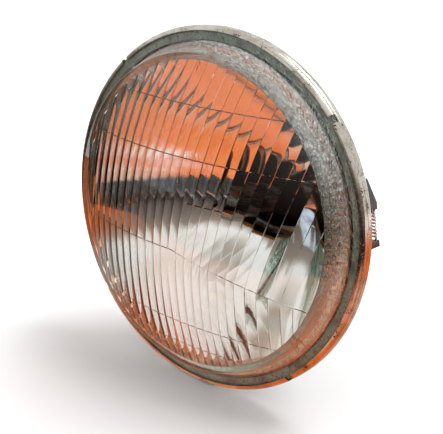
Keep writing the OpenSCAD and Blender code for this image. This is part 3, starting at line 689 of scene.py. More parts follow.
pressed_glass, tree, shader, coords = finish(
    "pressed_soda_glass", Base_Color=colour("#fdfefd"), Roughness=0.0, IOR=1.52, Specular_IOR_Level=0.3,
    Transmission_Weight=1.0)
wave = add_node(tree, "ShaderNodeTexNoise",
                inputs={"Vector": coords, "Scale": 1 / (16 * mm), "Detail": 1.0}).outputs["Fac"]
smear = add_node(tree, "ShaderNodeTexNoise",
                 inputs={"Vector": coords, "Scale": 1 / (22 * mm), "Detail": 5.0,
                         "Distortion": 0.6}).outputs["Fac"]
relief = add_node(tree, "ShaderNodeBump", inputs={"Height": wave, "Distance": 0.02 * mm}).outputs["Normal"]
gloss = add_node(tree, "ShaderNodeMapRange",
                 inputs={"Value": smear, "From Min": 0.5, "From Max": 0.8,
                         "To Max": 0.03}).outputs["Result"]
feed(shader, Normal=relief, Roughness=gloss)
tint(pressed_glass)

seat_glass, tree, shader, coords = finish(
    "stippled_seat_of_the_glass", Base_Color=colour("#eef1f0"), Roughness=0.1, IOR=1.52,
    Transmission_Weight=1.0)
stipple = add_node(tree, "ShaderNodeTexNoise",
                   inputs={"Vector": coords, "Scale": 1 / (2.4 * mm), "Detail": 4.0,
                           "Distortion": 0.6}).outputs["Fac"]
relief = add_node(tree, "ShaderNodeBump",
                  inputs={"Height": stipple, "Distance": 0.7 * mm}).outputs["Normal"]
feed(shader, Normal=relief)
tint(seat_glass)

dress(lens, "lens", pressed_glass, seat_glass)
for face in lens.data.polygons:
    r, y, outward = where(face)
    if r > cavity_r - 0.1 and (y > glass_back_y - 0.2 or r < cavity_r + 0.3):
        face.material_index = 1
print("stippled faces:", sum(face.material_index for face in lens.data.polygons))

# %% [markdown]
# The bowl is a paraboloid pressed from thin sheet, with a round neck for the bulb and a turned-up channel
# for the lens. All of it is one turned section. Which finish a face gets depends on where it lies: the mirror
# inside, a crinkled bright lip, the neck's inside painted near black as painted shade, and bare sheet behind.

# %% Reflector
mouth_r = 76.0
lip_y = -0.9
focal = 26.9
vertex_y = lip_y + mouth_r ** 2 / (4 * focal)
neck_r = 22.5
sheet = 1.0
neck_back_y = 54.575
neck_flange_y = neck_back_y - sheet
neck_flange_r = 28.5
channel_floor_y = 1.5
channel_back_y = 2.5


def bowl_y(r):
    return vertex_y - r * r / (4 * focal)


def bowl_back(r):
    slope = math.sqrt(1 + (r / (2 * focal)) ** 2)
    return (r + sheet * r / (2 * focal) / slope, bowl_y(r) + sheet / slope)


bowl_steps = 72
radii = [neck_r + (mouth_r - neck_r) * i / bowl_steps for i in range(bowl_steps + 1)]
bowl = [(r, bowl_y(r)) for r in radii]
channel = [(80.0, lip_y), (80.0, channel_floor_y), (86.6, channel_floor_y), (86.6, channel_back_y),
           (79.0, channel_back_y), (79.0, lip_y + sheet), (76.9, lip_y + sheet)]
behind = [bowl_back(r) for r in radii[-2:0:-1]]
neck_outside_r = neck_r + sheet
neck_outside = [(neck_outside_r, neck_flange_y - 5), (neck_outside_r, neck_flange_y),
                (neck_flange_r, neck_flange_y), (neck_flange_r, neck_back_y)]
section = [(neck_r, neck_back_y)] + bowl + channel + behind + neck_outside
corner_radii = [0.3, 0.9] + [0] * (bowl_steps - 1) + [0.7, 0.7, 0.5, 0.3, 0.3, 0.8, 0.5, 0.3]
corner_radii += [0] * len(behind) + [0, 0.6, 0.3, 0.3]
reflector = turned("reflector_bowl", rounded(section, corner_radii, steps=5), steps=256)
smooth(reflector, 30)
print("reflector faces:", len(reflector.data.polygons))

# %% [markdown]
# A vacuum-aluminised mirror is as smooth as the lacquer under it: a slow ripple, and a haze in patches.
# At the neck an uneven brown ring is painted into the mirror's colour as a painted reflection, and the mirror
# is rougher there.

# %% Finish: mirror
mirror, tree, shader, coords = finish(
    "vacuum_aluminised_mirror", Roughness=0.03, Metallic=1.0)
flat = add_node(tree, "ShaderNodeVectorMath", {"operation": "MULTIPLY"}, {0: coords, 1: (1, 0, 1)})
from_axis = add_node(tree, "ShaderNodeVectorMath", {"operation": "LENGTH"}, {0: flat.outputs[0]})
uneven = add_node(tree, "ShaderNodeTexNoise",
                  inputs={"Vector": coords, "Scale": 1 / (7 * mm), "Detail": 3.0}).outputs["Fac"]
uneven_r = add_node(tree, "ShaderNodeMath", {"operation": "MULTIPLY_ADD"},
                    {0: uneven, 1: -3.0 * mm, 2: from_axis.outputs["Value"]}).outputs[0]
# An uneven brown ring round the neck, painted into the mirror's colour: a painted reflection.
brown_reflection_ring = add_node(tree, "ShaderNodeMapRange", {"interpolation_type": "SMOOTHSTEP"},
                 {"Value": uneven_r, "From Min": 22.0 * mm, "From Max": 22.9 * mm, "To Min": 1,
                  "To Max": 0}).outputs["Result"]
haze = add_node(tree, "ShaderNodeTexNoise",
                inputs={"Vector": coords, "Scale": 1 / (18 * mm), "Detail": 5.0}).outputs["Fac"]
silver = add_node(tree, "ShaderNodeValToRGB", inputs={"Fac": haze},
                  stops=[(0.35, "#f5f3f0"), (0.6, "#fbfaf9")]).outputs["Color"]
mirror_rough = add_node(tree, "ShaderNodeMapRange",
                        inputs={"Value": haze, "From Min": 0.4, "From Max": 0.75, "To Min": 0.02,
                                "To Max": 0.1}).outputs["Result"]
tinted = add_node(tree, "ShaderNodeMix", {"data_type": "RGBA"},
                  {0: brown_reflection_ring, 6: silver, 7: colour("#8a5a2a")}).outputs[2]
gloss = add_node(tree, "ShaderNodeMath", {"operation": "MULTIPLY_ADD"},
                 {0: brown_reflection_ring, 1: 0.35, 2: mirror_rough}).outputs[0]
pattern = add_node(tree, "ShaderNodeTexNoise",
                   inputs={"Vector": coords, "Scale": 1 / (24 * mm), "Detail": 0.0}).outputs["Fac"]
relief = add_node(tree, "ShaderNodeBump",
                  inputs={"Height": pattern, "Distance": 0.06 * mm}).outputs["Normal"]
feed(shader, Base_Color=tinted, Roughness=gloss, Normal=relief)

# %% [markdown]
# The lip and the channel were coated with the bowl, but by hand and over rough sheet, so their mirror is
# crinkled, in small facets. Its colour is painted purple-grey in the hollows of the crinkle: painted shade.
# Inside the neck the colour is painted near black: painted shade.

# %% Finishes: crinkled lip, and the neck painted black as shade
crinkled, tree, shader, coords = finish("crinkled_aluminised_lip", Metallic=1.0)
crumple = add_node(tree, "ShaderNodeTexNoise",
                   inputs={"Vector": coords, "Scale": 1 / (2.2 * mm), "Detail": 4.0,
                           "Distortion": 0.8}).outputs["Fac"]
# The low parts of the crinkle are painted purple-grey as painted shade. The bump gives the real relief.
tinted = add_node(tree, "ShaderNodeValToRGB", inputs={"Fac": crumple},
                  stops=[(0.38, "#a29aa5"), (0.55, "#eceaec")]).outputs["Color"]
gloss = add_node(tree, "ShaderNodeMapRange",
                 inputs={"Value": crumple, "To Min": 0.35, "To Max": 0.12}).outputs["Result"]
relief = add_node(tree, "ShaderNodeBump",
                  inputs={"Height": crumple, "Distance": 0.5 * mm}).outputs["Normal"]
feed(shader, Base_Color=tinted, Roughness=gloss, Normal=relief)

# The neck's inside is painted near black: painted shade for the dark of the bulb's opening.
neck_painted_shade_black, tree, shader, coords = finish(
    "lacquer_painted_shade_black", Metallic=0.0, IOR=1.45, Specular_IOR_Level=0.2)
neck_mottle = add_node(tree, "ShaderNodeTexNoise",
                inputs={"Vector": coords, "Scale": 1 / (3 * mm), "Detail": 5.0}).outputs["Fac"]
tinted = add_node(tree, "ShaderNodeValToRGB", inputs={"Fac": neck_mottle},
                  stops=[(0.35, "#020202"), (0.75, "#0a0807")]).outputs["Color"]
gloss = add_node(tree, "ShaderNodeMapRange",
                 inputs={"Value": neck_mottle, "To Min": 0.55, "To Max": 0.85}).outputs["Result"]
relief = add_node(tree, "ShaderNodeBump", inputs={"Height": neck_mottle, "Distance": 0.05 * mm}).outputs["Normal"]
feed(shader, Base_Color=tinted, Roughness=gloss, Normal=relief)

# %% [markdown]
# One function makes the plain metals. Each has a cloudy colour, a fine grain that may be stretched along the
# way it was rolled or drawn, and dull and bright places. The grain's size is in millimetres. The first use is
# the bare sheet behind the bowl, which is galvanised.

# %% Finish helper: worn metal, and the bowl's finishes


def worn_metal(name, dark, light, grain, depth, dull=(0.3, 0.5), stretch=(1, 1, 1), stain="", stain_size=2.0):
    """A metal with clouded colour and stretched grain, and with stains if a colour is given for them."""
    material, tree, shader, coords = finish(name, Metallic=1.0)
    drawn = add_node(tree, "ShaderNodeMapping", inputs={"Vector": coords, "Scale": stretch})
    fine = add_node(tree, "ShaderNodeTexNoise",
                    inputs={"Vector": drawn.outputs["Vector"], "Scale": 1 / (grain * mm),
                            "Detail": 3.0}).outputs["Fac"]
    pattern = add_node(tree, "ShaderNodeTexNoise",
                       inputs={"Vector": coords, "Scale": 1 / (8 * grain * mm),
                               "Detail": 4.0}).outputs["Fac"]
    mixed = add_node(tree, "ShaderNodeMath", {"operation": "MULTIPLY_ADD"},
                     {0: fine, 1: 0.45, 2: pattern}).outputs[0]
    shade = add_node(tree, "ShaderNodeValToRGB", inputs={"Fac": mixed},
                     stops=[(0.5, dark), (0.85, light)]).outputs["Color"]
    if stain:
        pattern = add_node(tree, "ShaderNodeTexNoise",
                           inputs={"Vector": coords, "Scale": 1 / (stain_size * mm), "Detail": 6.0,
                                   "Roughness": 0.65}).outputs["Fac"]
        stained = add_node(tree, "ShaderNodeMapRange",
                           inputs={"Value": pattern, "From Min": 0.6, "From Max": 0.7}).outputs["Result"]
        shade = add_node(tree, "ShaderNodeMix", {"data_type": "RGBA"},
                         {0: stained, 6: shade, 7: colour(stain)}).outputs[2]
    gloss = add_node(tree, "ShaderNodeMapRange",
                     inputs={"Value": mixed, "From Min": 0.5, "From Max": 0.9, "To Min": dull[1],
                             "To Max": dull[0]}).outputs["Result"]
    relief = add_node(tree, "ShaderNodeBump",
                      inputs={"Height": fine, "Distance": depth * mm}).outputs["Normal"]
    feed(shader, Base_Color=shade, Roughness=gloss, Normal=relief)
    return material


pressed_sheet = worn_metal("galvanised_pressed_sheet", "#77777a", "#a9a9a8", 0.5, 0.02, (0.32, 0.55),
                           stain="#5c4a3c", stain_size=6)
dress(reflector, "reflector", mirror, crinkled, neck_painted_shade_black, pressed_sheet)
# Neck faces behind this station get the near-black painted shade.
painted_shade_from_y = 48.9
for face in reflector.data.polygons:
    r, y, outward = where(face)
    if outward > 0.5 and r > neck_r + 0.5 and y > 0 or face.normal.y > 0.2:
        face.material_index = 3
    elif r > mouth_r - 0.2:
        face.material_index = 1
    elif r < neck_r + 0.4 and y > painted_shade_from_y:
        face.material_index = 2
finish_counts = [sum(face.material_index == i for face in reflector.data.polygons) for i in range(4)]
print("reflector finishes:", finish_counts)

# %% [markdown]
# The sealing bead is a ring of compound that was poured into the channel and pressed flat by the glass. It
# is seen through the flange as a beige-grey band, painted paler than the compound as painted light. Its free
# edge set unevenly.

# %% Sealing bead
bead_in, bead_out, bead_front_y = 81.0, 87.6, -1.25
bead_section = rounded([(bead_in, bead_front_y), (bead_out, bead_front_y),
                        (bead_out, channel_floor_y), (bead_in, channel_floor_y)],
                       [0.7, 0.3, 0.2, 0.2], steps=4)
bead = turned("sealing_bead_ring", bead_section, steps=360)
for vertex in bead.data.vertices:
    r = math.hypot(vertex.co.x, vertex.co.z)
    if r < (bead_in + 1.5) * mm:
        creep = noise.noise(Vector((vertex.co.x, 0, vertex.co.z)) / (5 * mm)) * 0.35 * mm + 0.3 * mm
        vertex.co.x *= 1 + creep / r
        vertex.co.z *= 1 + creep / r
smooth(bead, 40)

compound, tree, shader, coords = finish(
    "butyl_sealing_compound", Roughness=0.6, IOR=1.5)
pattern = add_node(tree, "ShaderNodeTexNoise",
                   inputs={"Vector": coords, "Scale": 1 / (9 * mm), "Detail": 5.0}).outputs["Fac"]
# The compound's beige-grey varies at random, and it is painted paler than its own colour as painted light,
# for the light that the glass keeps off it.
compound_tone_and_painted_light = add_node(tree, "ShaderNodeValToRGB", inputs={"Fac": pattern},
                 stops=[(0.35, "#bdb4b6"), (0.5, "#e6dfd0"), (0.68, "#f4eee1")]).outputs["Color"]
grit = add_node(tree, "ShaderNodeTexNoise",
                inputs={"Vector": coords, "Scale": 1 / (0.9 * mm), "Detail": 3.0}).outputs["Fac"]
share = add_node(tree, "ShaderNodeMapRange",
                 inputs={"Value": grit, "From Min": 0.6, "From Max": 0.68}).outputs["Result"]
gritty = add_node(tree, "ShaderNodeMix", {"data_type": "RGBA"},
                  {0: share, 6: compound_tone_and_painted_light, 7: colour("#6f666b")}).outputs[2]
relief = add_node(tree, "ShaderNodeBump", inputs={"Height": grit, "Distance": 0.12 * mm}).outputs["Normal"]
feed(shader, Base_Color=gritty, Normal=relief)
dress(bead, "lens_seal", compound)
print("bead faces:", len(bead.data.polygons))

# %% [markdown]
# The rim is a band of thin steel rolled round the edges of glass and bowl, and plated. Its front is turned
# in over the flange, its side wall has a shallow groove, and its rear edge is rolled round the bowl's flange.
# Four small slots in its front edge let the wet run out. They are cut with boxes.

# %% Rim
rim_r = 89.0
rim_t = 0.8
rim_front_y = -3.3
lip_r = 86.5
roll_r = 2.4
roll_centre = (rim_r - roll_r, 0.9)
roll_steps = 10


def roll_point(r, step):
    angle = math.pi / 2 * step / roll_steps
    return (roll_centre[0] + r * math.cos(angle), roll_centre[1] + r * math.sin(angle))


front = [(lip_r, -4.243), (lip_r, -5.043), (88.1, -4.55), (rim_r, rim_front_y)]
side = [(rim_r, -2.5), (rim_r - 0.28, -2.05), (rim_r - 0.28, -1.35), (rim_r, -0.9)]
roll_out = [roll_point(roll_r, i) for i in range(roll_steps + 1)]
roll_in = [roll_point(roll_r - rim_t, i) for i in range(roll_steps, -1, -1)]
rear = [(85.8, 3.3), (85.8, 2.55)]
inside = [(rim_r - rim_t, -3.2), (87.2, -4.0)]
rim_section = front + side + roll_out + rear + roll_in + inside
no_radii = [0] * (roll_steps + 1)
rim_radii = [0.2, 0.38, 1.4, 1.2, 0.4, 0.3, 0.3, 0.4] + no_radii + [0.3, 0.3] + no_radii + [0.3, 0.3]
rim = turned("rim_band", rounded(rim_section, rim_radii, steps=4), steps=256)

slot_w = 3.6
slot_back_y = rim_front_y + 2
first_slot_angle = 41
for i in range(4):
    slot = box_tool((lip_r - 1, -7, -slot_w / 2), (rim_r + 1, slot_back_y, slot_w / 2))
    cut(rim, round_lamp(slot, first_slot_angle + 90 * i))
apply_modifier(rim, "BEVEL", width=0.12 * mm, segments=1, limit_method="ANGLE",
               angle_limit=math.radians(60))
smooth(rim, 35)
print("rim faces:", len(rim.data.polygons))

# %% [markdown]
# The rim's steel is nickel and chromium plated. Decades of wiping have left fine lines round it, and salt has
# left dark pits. Its hidden inside and the sides of its slots are painted dark and dull: painted shade.

# %% Finish: bright plated rim
plated, tree, shader, coords = finish("chromium_plated_steel", Metallic=1.0)
wiped = add_node(tree, "ShaderNodeMapping", inputs={"Vector": coords, "Scale": (1, 30, 1)})
lines_round = add_node(tree, "ShaderNodeTexNoise",
                       inputs={"Vector": wiped.outputs["Vector"], "Scale": 1 / (14 * mm),
                               "Detail": 5.0}).outputs["Fac"]
tarnish = add_node(tree, "ShaderNodeTexNoise",
                   inputs={"Vector": coords, "Scale": 1 / (11 * mm), "Detail": 6.0,
                           "Roughness": 0.6}).outputs["Fac"]
tarnish_colour = add_node(tree, "ShaderNodeValToRGB", inputs={"Fac": tarnish},
                          stops=[(0.34, "#a59d90"), (0.56, "#cfcac1")]).outputs["Color"]
pits = add_node(tree, "ShaderNodeTexNoise",
                inputs={"Vector": coords, "Scale": 1 / (1.3 * mm), "Detail": 5.0,
                        "Roughness": 0.7}).outputs["Fac"]
combined = add_node(tree, "ShaderNodeMath", {"operation": "MULTIPLY_ADD"},
                    {0: tarnish, 1: -0.35, 2: pits}).outputs[0]
pit_mask = add_node(tree, "ShaderNodeMapRange",
                    inputs={"Value": combined, "From Min": 0.42, "From Max": 0.47}).outputs["Result"]
rim_rough = add_node(tree, "ShaderNodeMapRange",
                     inputs={"Value": lines_round, "From Min": 0.35, "From Max": 0.7, "To Min": 0.16,
                             "To Max": 0.3}).outputs["Result"]
relief = add_node(tree, "ShaderNodeBump",
                  inputs={"Height": lines_round, "Distance": 0.03 * mm}).outputs["Normal"]
pit_bump = add_node(tree, "ShaderNodeBump", {"invert": True},
                    {"Height": pit_mask, "Distance": 0.05 * mm, "Normal": relief})
tinted = add_node(tree, "ShaderNodeMix", {"data_type": "RGBA"},
                  {0: pit_mask, 6: tarnish_colour, 7: colour("#3a3431")}).outputs[2]
gloss = add_node(tree, "ShaderNodeMath", {"operation": "MULTIPLY_ADD"},
                 {0: pit_mask, 1: 0.4, 2: rim_rough}).outputs[0]
feed(shader, Base_Color=tinted, Roughness=gloss, Normal=pit_bump.outputs["Normal"])

# The rim's inside and the sides of its slots are painted dark: painted shade, so that the slots read black.
rim_inside_painted_shade = worn_metal("unplated_steel_painted_shade_dark", "#1c1817", "#4a423b", 0.8, 0.05, (0.6, 0.85))
dress(rim, "rim", plated, rim_inside_painted_shade)
# Faces inside the rim and the sides of its slots get the dark finish of painted shade.
for face in rim.data.polygons:
    r, y, outward = where(face)
    backward = face.normal.y
    within = outward < -0.2 and -4.1 < y < 2.45
    under = backward > 0.3 and y < -3 or backward < -0.3 and y > channel_floor_y and r < rim_r - 0.9
    slot_side = 1 - outward ** 2 - backward ** 2 > 0.49
    if within or under or slot_side:
        face.material_index = 1
print("rim's hidden faces:", sum(face.material_index for face in rim.data.polygons))

# %% [markdown]
# The parts behind are stamped, moulded or drawn. Where the CAD solid has the right shape, a merged copy of it
# gets its sharp edges rounded by a bevel, because no real edge is sharp. The copy starts from loose
# triangles, so its doubles are merged and its flat faces dissolved before the bevel.

# %% Helper: softened copies of CAD nodes


def softened(node, width, segments=2, smooth_angle=35):
    """A merged copy of a CAD node, with its sharp edges rounded to a width in mm."""
    only(nodes[node])
    bpy.ops.object.duplicate()
    obj = bpy.context.object
    obj.name = node + "_piece"
    del obj["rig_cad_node"]
    obj.data.materials.clear()
    edit(obj)
    bpy.ops.mesh.remove_doubles(threshold=1e-6)
    if width:
        bpy.ops.mesh.dissolve_limited(angle_limit=math.radians(0.6))
    faces_out()
    if width:
        apply_modifier(obj, "BEVEL", width=width * mm, segments=segments, limit_method="ANGLE",
                       angle_limit=math.radians(40))
    smooth(obj, smooth_angle)
    return obj


def dress_softened(material, segments=2, **widths):
    """Dresses softened copies of CAD nodes, each given with the width of its bevel in mm."""
    for node, width in widths.items():
        dress(softened(node, width, segments), node, material)


# %% [markdown]
# Black parts come in two kinds. The flat ring is steel with stoved paint, which has a slight orange peel and
# has chipped in places. The brackets and the bulb's base are moulded in glass-filled nylon, which has a fine
# grain and pale scuffs. The square nuts are plain nylon, yellowed by age.

# %% Finishes: black paint, black nylon, natural nylon
stoved, tree, shader, coords = finish("black_stoved_paint", IOR=1.5)
peel = add_node(tree, "ShaderNodeTexNoise",
                inputs={"Vector": coords, "Scale": 1 / (1.6 * mm), "Detail": 2.0}).outputs["Fac"]
chips = add_node(tree, "ShaderNodeTexNoise",
                 inputs={"Vector": coords, "Scale": 1 / (7 * mm), "Detail": 6.0,
                         "Roughness": 0.62}).outputs["Fac"]
chipped = add_node(tree, "ShaderNodeMapRange",
                   inputs={"Value": chips, "From Min": 0.645, "From Max": 0.66}).outputs["Result"]
paint_colour = add_node(tree, "ShaderNodeValToRGB", inputs={"Fac": chips},
                        stops=[(0.3, "#101011"), (0.6, "#1f1e1e")]).outputs["Color"]
tinted = add_node(tree, "ShaderNodeMix", {"data_type": "RGBA"},
                  {0: chipped, 6: paint_colour, 7: colour("#6f655c")}).outputs[2]
gloss = add_node(tree, "ShaderNodeMapRange",
                 inputs={"Value": chips, "To Min": 0.25, "To Max": 0.55}).outputs["Result"]
relief = add_node(tree, "ShaderNodeBump", inputs={"Height": peel, "Distance": 0.03 * mm}).outputs["Normal"]
feed(shader, Base_Color=tinted, Roughness=gloss, Metallic=chipped, Normal=relief)


def moulded(name, dark, light, grain, roughness):
    """A moulded plastic: a fine even grain, and broad paler scuffs."""
    material, tree, shader, coords = finish(name, IOR=1.53)
    scuffs = add_node(tree, "ShaderNodeTexNoise",
                      inputs={"Vector": coords, "Scale": 1 / (5 * mm), "Detail": 6.0,
                              "Distortion": 0.5}).outputs["Fac"]
    tinted = add_node(tree, "ShaderNodeValToRGB", inputs={"Fac": scuffs},
                      stops=[(0.4, dark), (0.72, light)]).outputs["Color"]
    gloss = add_node(tree, "ShaderNodeMapRange",
                     inputs={"Value": scuffs, "To Min": roughness[0],
                             "To Max": roughness[1]}).outputs["Result"]
    pattern = add_node(tree, "ShaderNodeTexNoise",
                       inputs={"Vector": coords, "Scale": 1 / (grain * mm), "Detail": 2.0}).outputs["Fac"]
    relief = add_node(tree, "ShaderNodeBump",
                      inputs={"Height": pattern, "Distance": 0.04 * mm}).outputs["Normal"]
    feed(shader, Base_Color=tinted, Roughness=gloss, Normal=relief)
    return material


black_nylon = moulded("black_glass_filled_nylon", "#121314", "#2e2d2d", 0.5, (0.3, 0.6))
natural_nylon = moulded("natural_nylon", "#d6ccb4", "#ebe4d2", 0.7, (0.35, 0.55))

# %% Finishes: small metals
# Rolled zinc plate, drawn wire, tungsten, brass, and the bulb's metal, painted near black as painted shade.
# Grain is coarser than the real 0.05 to 0.1 mm, so that it shows.
zinc = worn_metal("zinc_plated_steel", "#86847c", "#c4c2b8", 0.6, 0.02, (0.28, 0.5),
                  stain="#6e5f50", stain_size=3)
spring_wire = worn_metal("drawn_spring_wire", "#8f8d88", "#d6d4ce", 0.4, 0.015, (0.18, 0.4), (1, 6, 1))
tungsten = worn_metal("drawn_tungsten", "#35332f", "#6b6863", 0.2, 0.01, (0.35, 0.6))
brass = worn_metal("tarnished_brass", "#8a6a35", "#c9a35c", 0.5, 0.02, (0.25, 0.5),
                   stain="#5d4a2b", stain_size=2.5)
# The bulb's shield, shell and flange are painted near black: painted shade, so that the bulb's opening reads
# dark.
bulb_metal_painted_shade = worn_metal("steel_painted_shade_black", "#060505", "#141211", 0.5, 0.02, (0.65, 0.85))

# %% Mounting ring and brackets
ring_in, ring_out, ring_back_y = 75.6, 85.4, 3.7
ring_section = rounded([(ring_in, channel_back_y), (ring_out, channel_back_y),
                        (ring_out, ring_back_y), (ring_in, ring_back_y)], [0.3] * 4, steps=3)
mounting_ring = turned("mounting_ring_piece", ring_section, steps=256)
smooth(mounting_ring, 50)
dress(mounting_ring, "mounting_ring", stoved)
dress_softened(black_nylon, 3, pivot_bracket=0.6, upper_bracket=0.45, lower_bracket=0.45, bulb_base=0.35)
dress_softened(natural_nylon, 3, upper_nut=0.5, lower_nut=0.5)
print("black and nylon parts done")

# %% [markdown]
# Rivets have domed heads, pressed by a snap. One is turned and copied to its places. All of one set are
# joined, because they share a CAD node.

# %% Rivets


def dome(r, height, seat, steps=6):
    """The section of a domed head that stands out past its seat, from its edge to the axis."""
    return [(r * math.cos(math.pi / 2 * i / steps), seat + height * math.sin(math.pi / 2 * i / steps))
            for i in range(steps + 1)]


def placed_round(section, circle_r, angles, name):
    """Turns one rivet, copies it to its places round the lamp, and joins them."""
    first = turned(name, section, steps=32)
    first.data.transform(Matrix.Translation((circle_r * mm, 0, 0)))
    copies = [first]
    for _ in angles[1:]:
        only(first)
        bpy.ops.object.duplicate()
        copies.append(bpy.context.object)
    whole = joined([round_lamp(obj, angle) for obj, angle in zip(copies, angles)], name)
    smooth(whole, 40)
    return whole


pivot_angle = 12
ring_rivet_circle_r, seat_rivet_circle_r = 82.2, 26
seat_ring_back_y = neck_back_y + 1.5
ring_rivet = [(0, channel_floor_y), (1.5, channel_floor_y), (1.5, ring_back_y), (2.6, ring_back_y)]
ring_rivet += dome(2.7, 1.3, ring_back_y + 0.2)
ring_angles = [pivot_angle + 60 * (i + 0.5) for i in range(6)]
ring_rivets = placed_round(ring_rivet, ring_rivet_circle_r, ring_angles, "ring_rivets_piece")
dress(ring_rivets, "ring_rivets", zinc)
front_head = [(r, 2 * neck_flange_y - y) for r, y in reversed(dome(2.16, 0.9, neck_flange_y))]
seat_rivet = front_head + [(1.2, neck_flange_y), (1.2, seat_ring_back_y)] + dome(2.16, 0.9, seat_ring_back_y)
seat_angles = [45 + 90 * i for i in range(4)]
seat_rivets = placed_round(seat_rivet, seat_rivet_circle_r, seat_angles, "seat_rivets_piece")
dress(seat_rivets, "seat_rivets", zinc)
print("rivets:", len(ring_rivets.data.polygons), len(seat_rivets.data.polygons))

# %% [markdown]
# A coil spring is a small circle swept by the Screw modifier: it turns about an axis while it climbs. The
# end coils of a compression spring are wound shut and ground flat, which a ring at each end stands for.

# %% Springs


def swept(obj, turns, climb, steps):
    """Sweeps an outline about Z while it climbs, in mm a turn, and closes the ends of the tube."""
    apply_modifier(obj, "SCREW", axis="Z", angle=2 * math.pi, iterations=turns, screw_offset=climb * mm,
                   steps=steps, render_steps=steps)
    edit(obj)
    bpy.ops.mesh.remove_doubles(threshold=1e-7)
    bpy.ops.mesh.fill_holes(sides=0)
    faces_out()


def coil(name, mean_r, wire_r, curls, length, closed=True, sides=12):
    """A coil along Z from 0 to its length, in mm. A closed one has a ring at each end."""
    start = wire_r if closed else 0
    bpy.ops.object.select_all(action="DESELECT")
    bpy.ops.mesh.primitive_circle_add(vertices=sides, radius=wire_r * mm, rotation=(math.pi / 2, 0, 0),
                                      location=(mean_r * mm, 0, start * mm))
    obj = bpy.context.object
    obj.name = name
    apply_place(obj)
    swept(obj, curls, (length - 2 * start) / curls, steps=28)
    parts = [obj]
    for z in ((start, length - start) if closed else ()):
        bpy.ops.mesh.primitive_torus_add(major_radius=mean_r * mm, minor_radius=wire_r * mm,
                                         major_segments=40, minor_segments=sides, location=(0, 0, z * mm))
        ring = bpy.context.object
        apply_place(ring)
        parts.append(ring)
    return joined(parts, name)


def along_lamp(obj, x, y, z=0):
    """Turns a piece made along Z to the lamp's axis, and moves it to a place in mm."""
    obj.data.transform(Matrix.Translation((x * mm, y * mm, z * mm)) @ Matrix.Rotation(-math.pi / 2, 4, "X"))
    return obj


screw_circle_r = 79.9
spring_from_y = 16.7
aiming = {"upper": pivot_angle + 120, "lower": pivot_angle + 240}
for side_name, angle in aiming.items():
    spring = coil(side_name + "_spring_piece", 4.2, 0.6, 5, 12.0)
    round_lamp(along_lamp(spring, screw_circle_r, spring_from_y), angle)
    smooth(spring, 60)
    dress(spring, side_name + "_spring", spring_wire)

# The pull spring lies along Z, with straight ends that go into the two posts
pull_low_z, pull_high_z = -12.5, 1.5
pull_stub = 1.0
stub_in_post = 0.2
pull_r, pull_wire_r = 1.75, 0.5
pull_x, pull_y = 81.95, 12.8
pull_length = pull_high_z - pull_low_z - 2 * pull_stub
pull = coil("pull_spring_coil", pull_r, pull_wire_r, 8, pull_length, closed=False)
pull.data.transform(Matrix.Translation((0, 0, (pull_low_z + pull_stub) * mm)))
ends = [pull]
for low in (pull_low_z - stub_in_post, pull_high_z - pull_stub):
    stub_length = pull_stub + stub_in_post
    bpy.ops.mesh.primitive_cylinder_add(vertices=12, radius=pull_wire_r * mm, depth=stub_length * mm,
                                        location=(pull_r * mm, 0, (low + stub_length / 2) * mm))
    stub = bpy.context.object
    apply_place(stub)
    apply_modifier(stub, "BEVEL", width=0.15 * mm, segments=2, limit_method="ANGLE")
    ends.append(stub)
pull = joined(ends, "pull_spring_piece")
pull.data.transform(Matrix.Translation((pull_x * mm, pull_y * mm, 0)))
round_lamp(pull, pivot_angle)
smooth(pull, 60)
dress(pull, "pull_spring", spring_wire)
print("springs done")

# %% [markdown]
# An aiming screw has a collar that bears in its bracket, a smooth neck under the spring, and a fine thread.
# The screw is turned, its thread is a small triangle swept like a coil, and its driver slot is cut.

# %% Aiming screws
thread_pitch = 0.8
thread_from_y = 30.4
thread_turns = 25
core_r, crest_r = 2.2, 2.5
collar_r, collar_from_y, collar_to_y = 3.9, 4.0, 5.8
screw_end_y = 51.8
driver_slot_w, driver_slot_y = 1.0, 50.2


def aiming_screw(name):
    body = [(0, collar_from_y), (collar_r, collar_from_y), (collar_r, collar_to_y), (crest_r, collar_to_y),
            (crest_r, 29.9), (core_r, 30.2), (core_r, screw_end_y), (0, screw_end_y)]
    shaft = turned(name, rounded(body, [0, 0.3, 0.3, 0.1, 0.1, 0.1, 0.5, 0], steps=3), steps=48)
    cut(shaft, box_tool((-driver_slot_w / 2, driver_slot_y, -5), (driver_slot_w / 2, 53, 5)))
    ridge = plotted([(core_r - 0.1, 0, -0.38), (crest_r, 0, 0), (core_r - 0.1, 0, 0.38)])
    swept(ridge, thread_turns, thread_pitch, steps=24)
    along_lamp(ridge, 0, thread_from_y)
    whole = joined([shaft, ridge], name)
    whole.data.transform(Matrix.Translation((screw_circle_r * mm, 0, 0)))
    smooth(whole, 30)
    return whole


for side_name, angle in aiming.items():
    screw = round_lamp(aiming_screw(side_name + "_screw_piece"), angle)
    dress(screw, side_name + "_screw", zinc)
    dress(softened(side_name + "_circlip", 0.15), side_name + "_circlip", zinc)
print("screw faces:", len(screw.data.polygons))

# %% [markdown]
# The seat ring, the hinge bracket and the keeper are stampings, and the clip is a bent wire. The clip's copy
# needs no bevel, since a wire has no edges.

# %% Seat ring and clip
dress_softened(zinc, bulb_seat_ring=0.2, clip_hinge_bracket=0.25, clip_keeper=0.25)
dress(softened("bulb_clip", 0, smooth_angle=60), "bulb_clip", spring_wire)

# %% [markdown]
# The bulb's glass is a blown tube with a round end, thin and clear, a little smoked from inside. It is
# turned as a shell with a real wall. The filaments are close coils of fine wire.

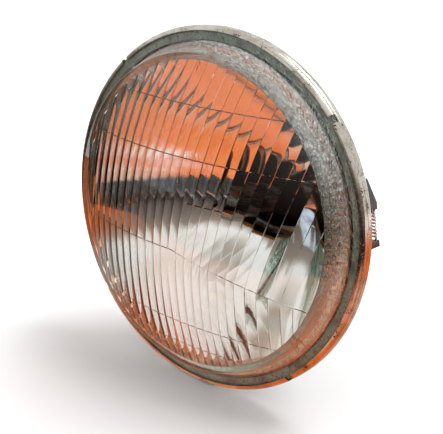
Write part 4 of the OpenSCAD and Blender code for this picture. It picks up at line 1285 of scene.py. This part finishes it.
# %% Bulb
bulb_r = 8.5
bulb_wall = 0.8
bulb_tip_y = 10.08
bulb_back_y = 54.075
tip_steps = 14
filament_z = 0.8


def bulb_skin(r):
    """The outline of the tube at a radius in mm, from its round tip to its open back."""
    angles = [math.pi / 2 * i / tip_steps for i in range(tip_steps + 1)]
    arc = [(r * math.sin(angle), bulb_tip_y + bulb_r - r * math.cos(angle)) for angle in angles]
    return arc + [(r, bulb_back_y)]


bulb = turned("bulb_glass_shell", bulb_skin(bulb_r) + bulb_skin(bulb_r - bulb_wall)[::-1], steps=72)
smooth(bulb, 40)
thin_glass, tree, shader, coords = finish(
    "blown_bulb_glass", IOR=1.47, Specular_IOR_Level=0.3, Transmission_Weight=1.0)
smoke = add_node(tree, "ShaderNodeTexNoise",
                 inputs={"Vector": coords, "Scale": 1 / (9 * mm), "Detail": 3.0}).outputs["Fac"]
tinted = add_node(tree, "ShaderNodeValToRGB", inputs={"Fac": smoke},
                  stops=[(0.3, "#efedea"), (0.7, "#fdfdfc")]).outputs["Color"]
gloss = add_node(tree, "ShaderNodeMapRange",
                 inputs={"Value": smoke, "From Min": 0.5, "From Max": 0.9,
                         "To Max": 0.06}).outputs["Result"]
feed(shader, Base_Color=tinted, Roughness=gloss)
dress(bulb, "bulb_glass", thin_glass)
dress_softened(thin_glass, 3, bulb_stem=0.4)
for node, y in (("main_filament", 23.38), ("dip_filament", 16.38)):
    filament = along_lamp(coil(node + "_coil", 0.62, 0.18, 10, 5.0, closed=False, sides=8), 0, y, filament_z)
    smooth(filament, 60)
    dress(filament, node, tungsten)
dress_softened(tungsten, filament_posts=0.08)
# Painted shade: near-black metal for the shield, the shell and the flange.
dress_softened(bulb_metal_painted_shade, dip_shield=0.12, bulb_shell=0.3, bulb_flange=0.25)
dress_softened(brass, main_terminal=0.15, dip_terminal=0.15, earth_terminal=0.15)
print("bulb done")

# %% Finish
bpy.context.view_layer.update()
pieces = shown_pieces()
print("pieces:", len(pieces), "triangles:", sum(len(f.vertices) - 2 for p in pieces for f in p.data.polygons))
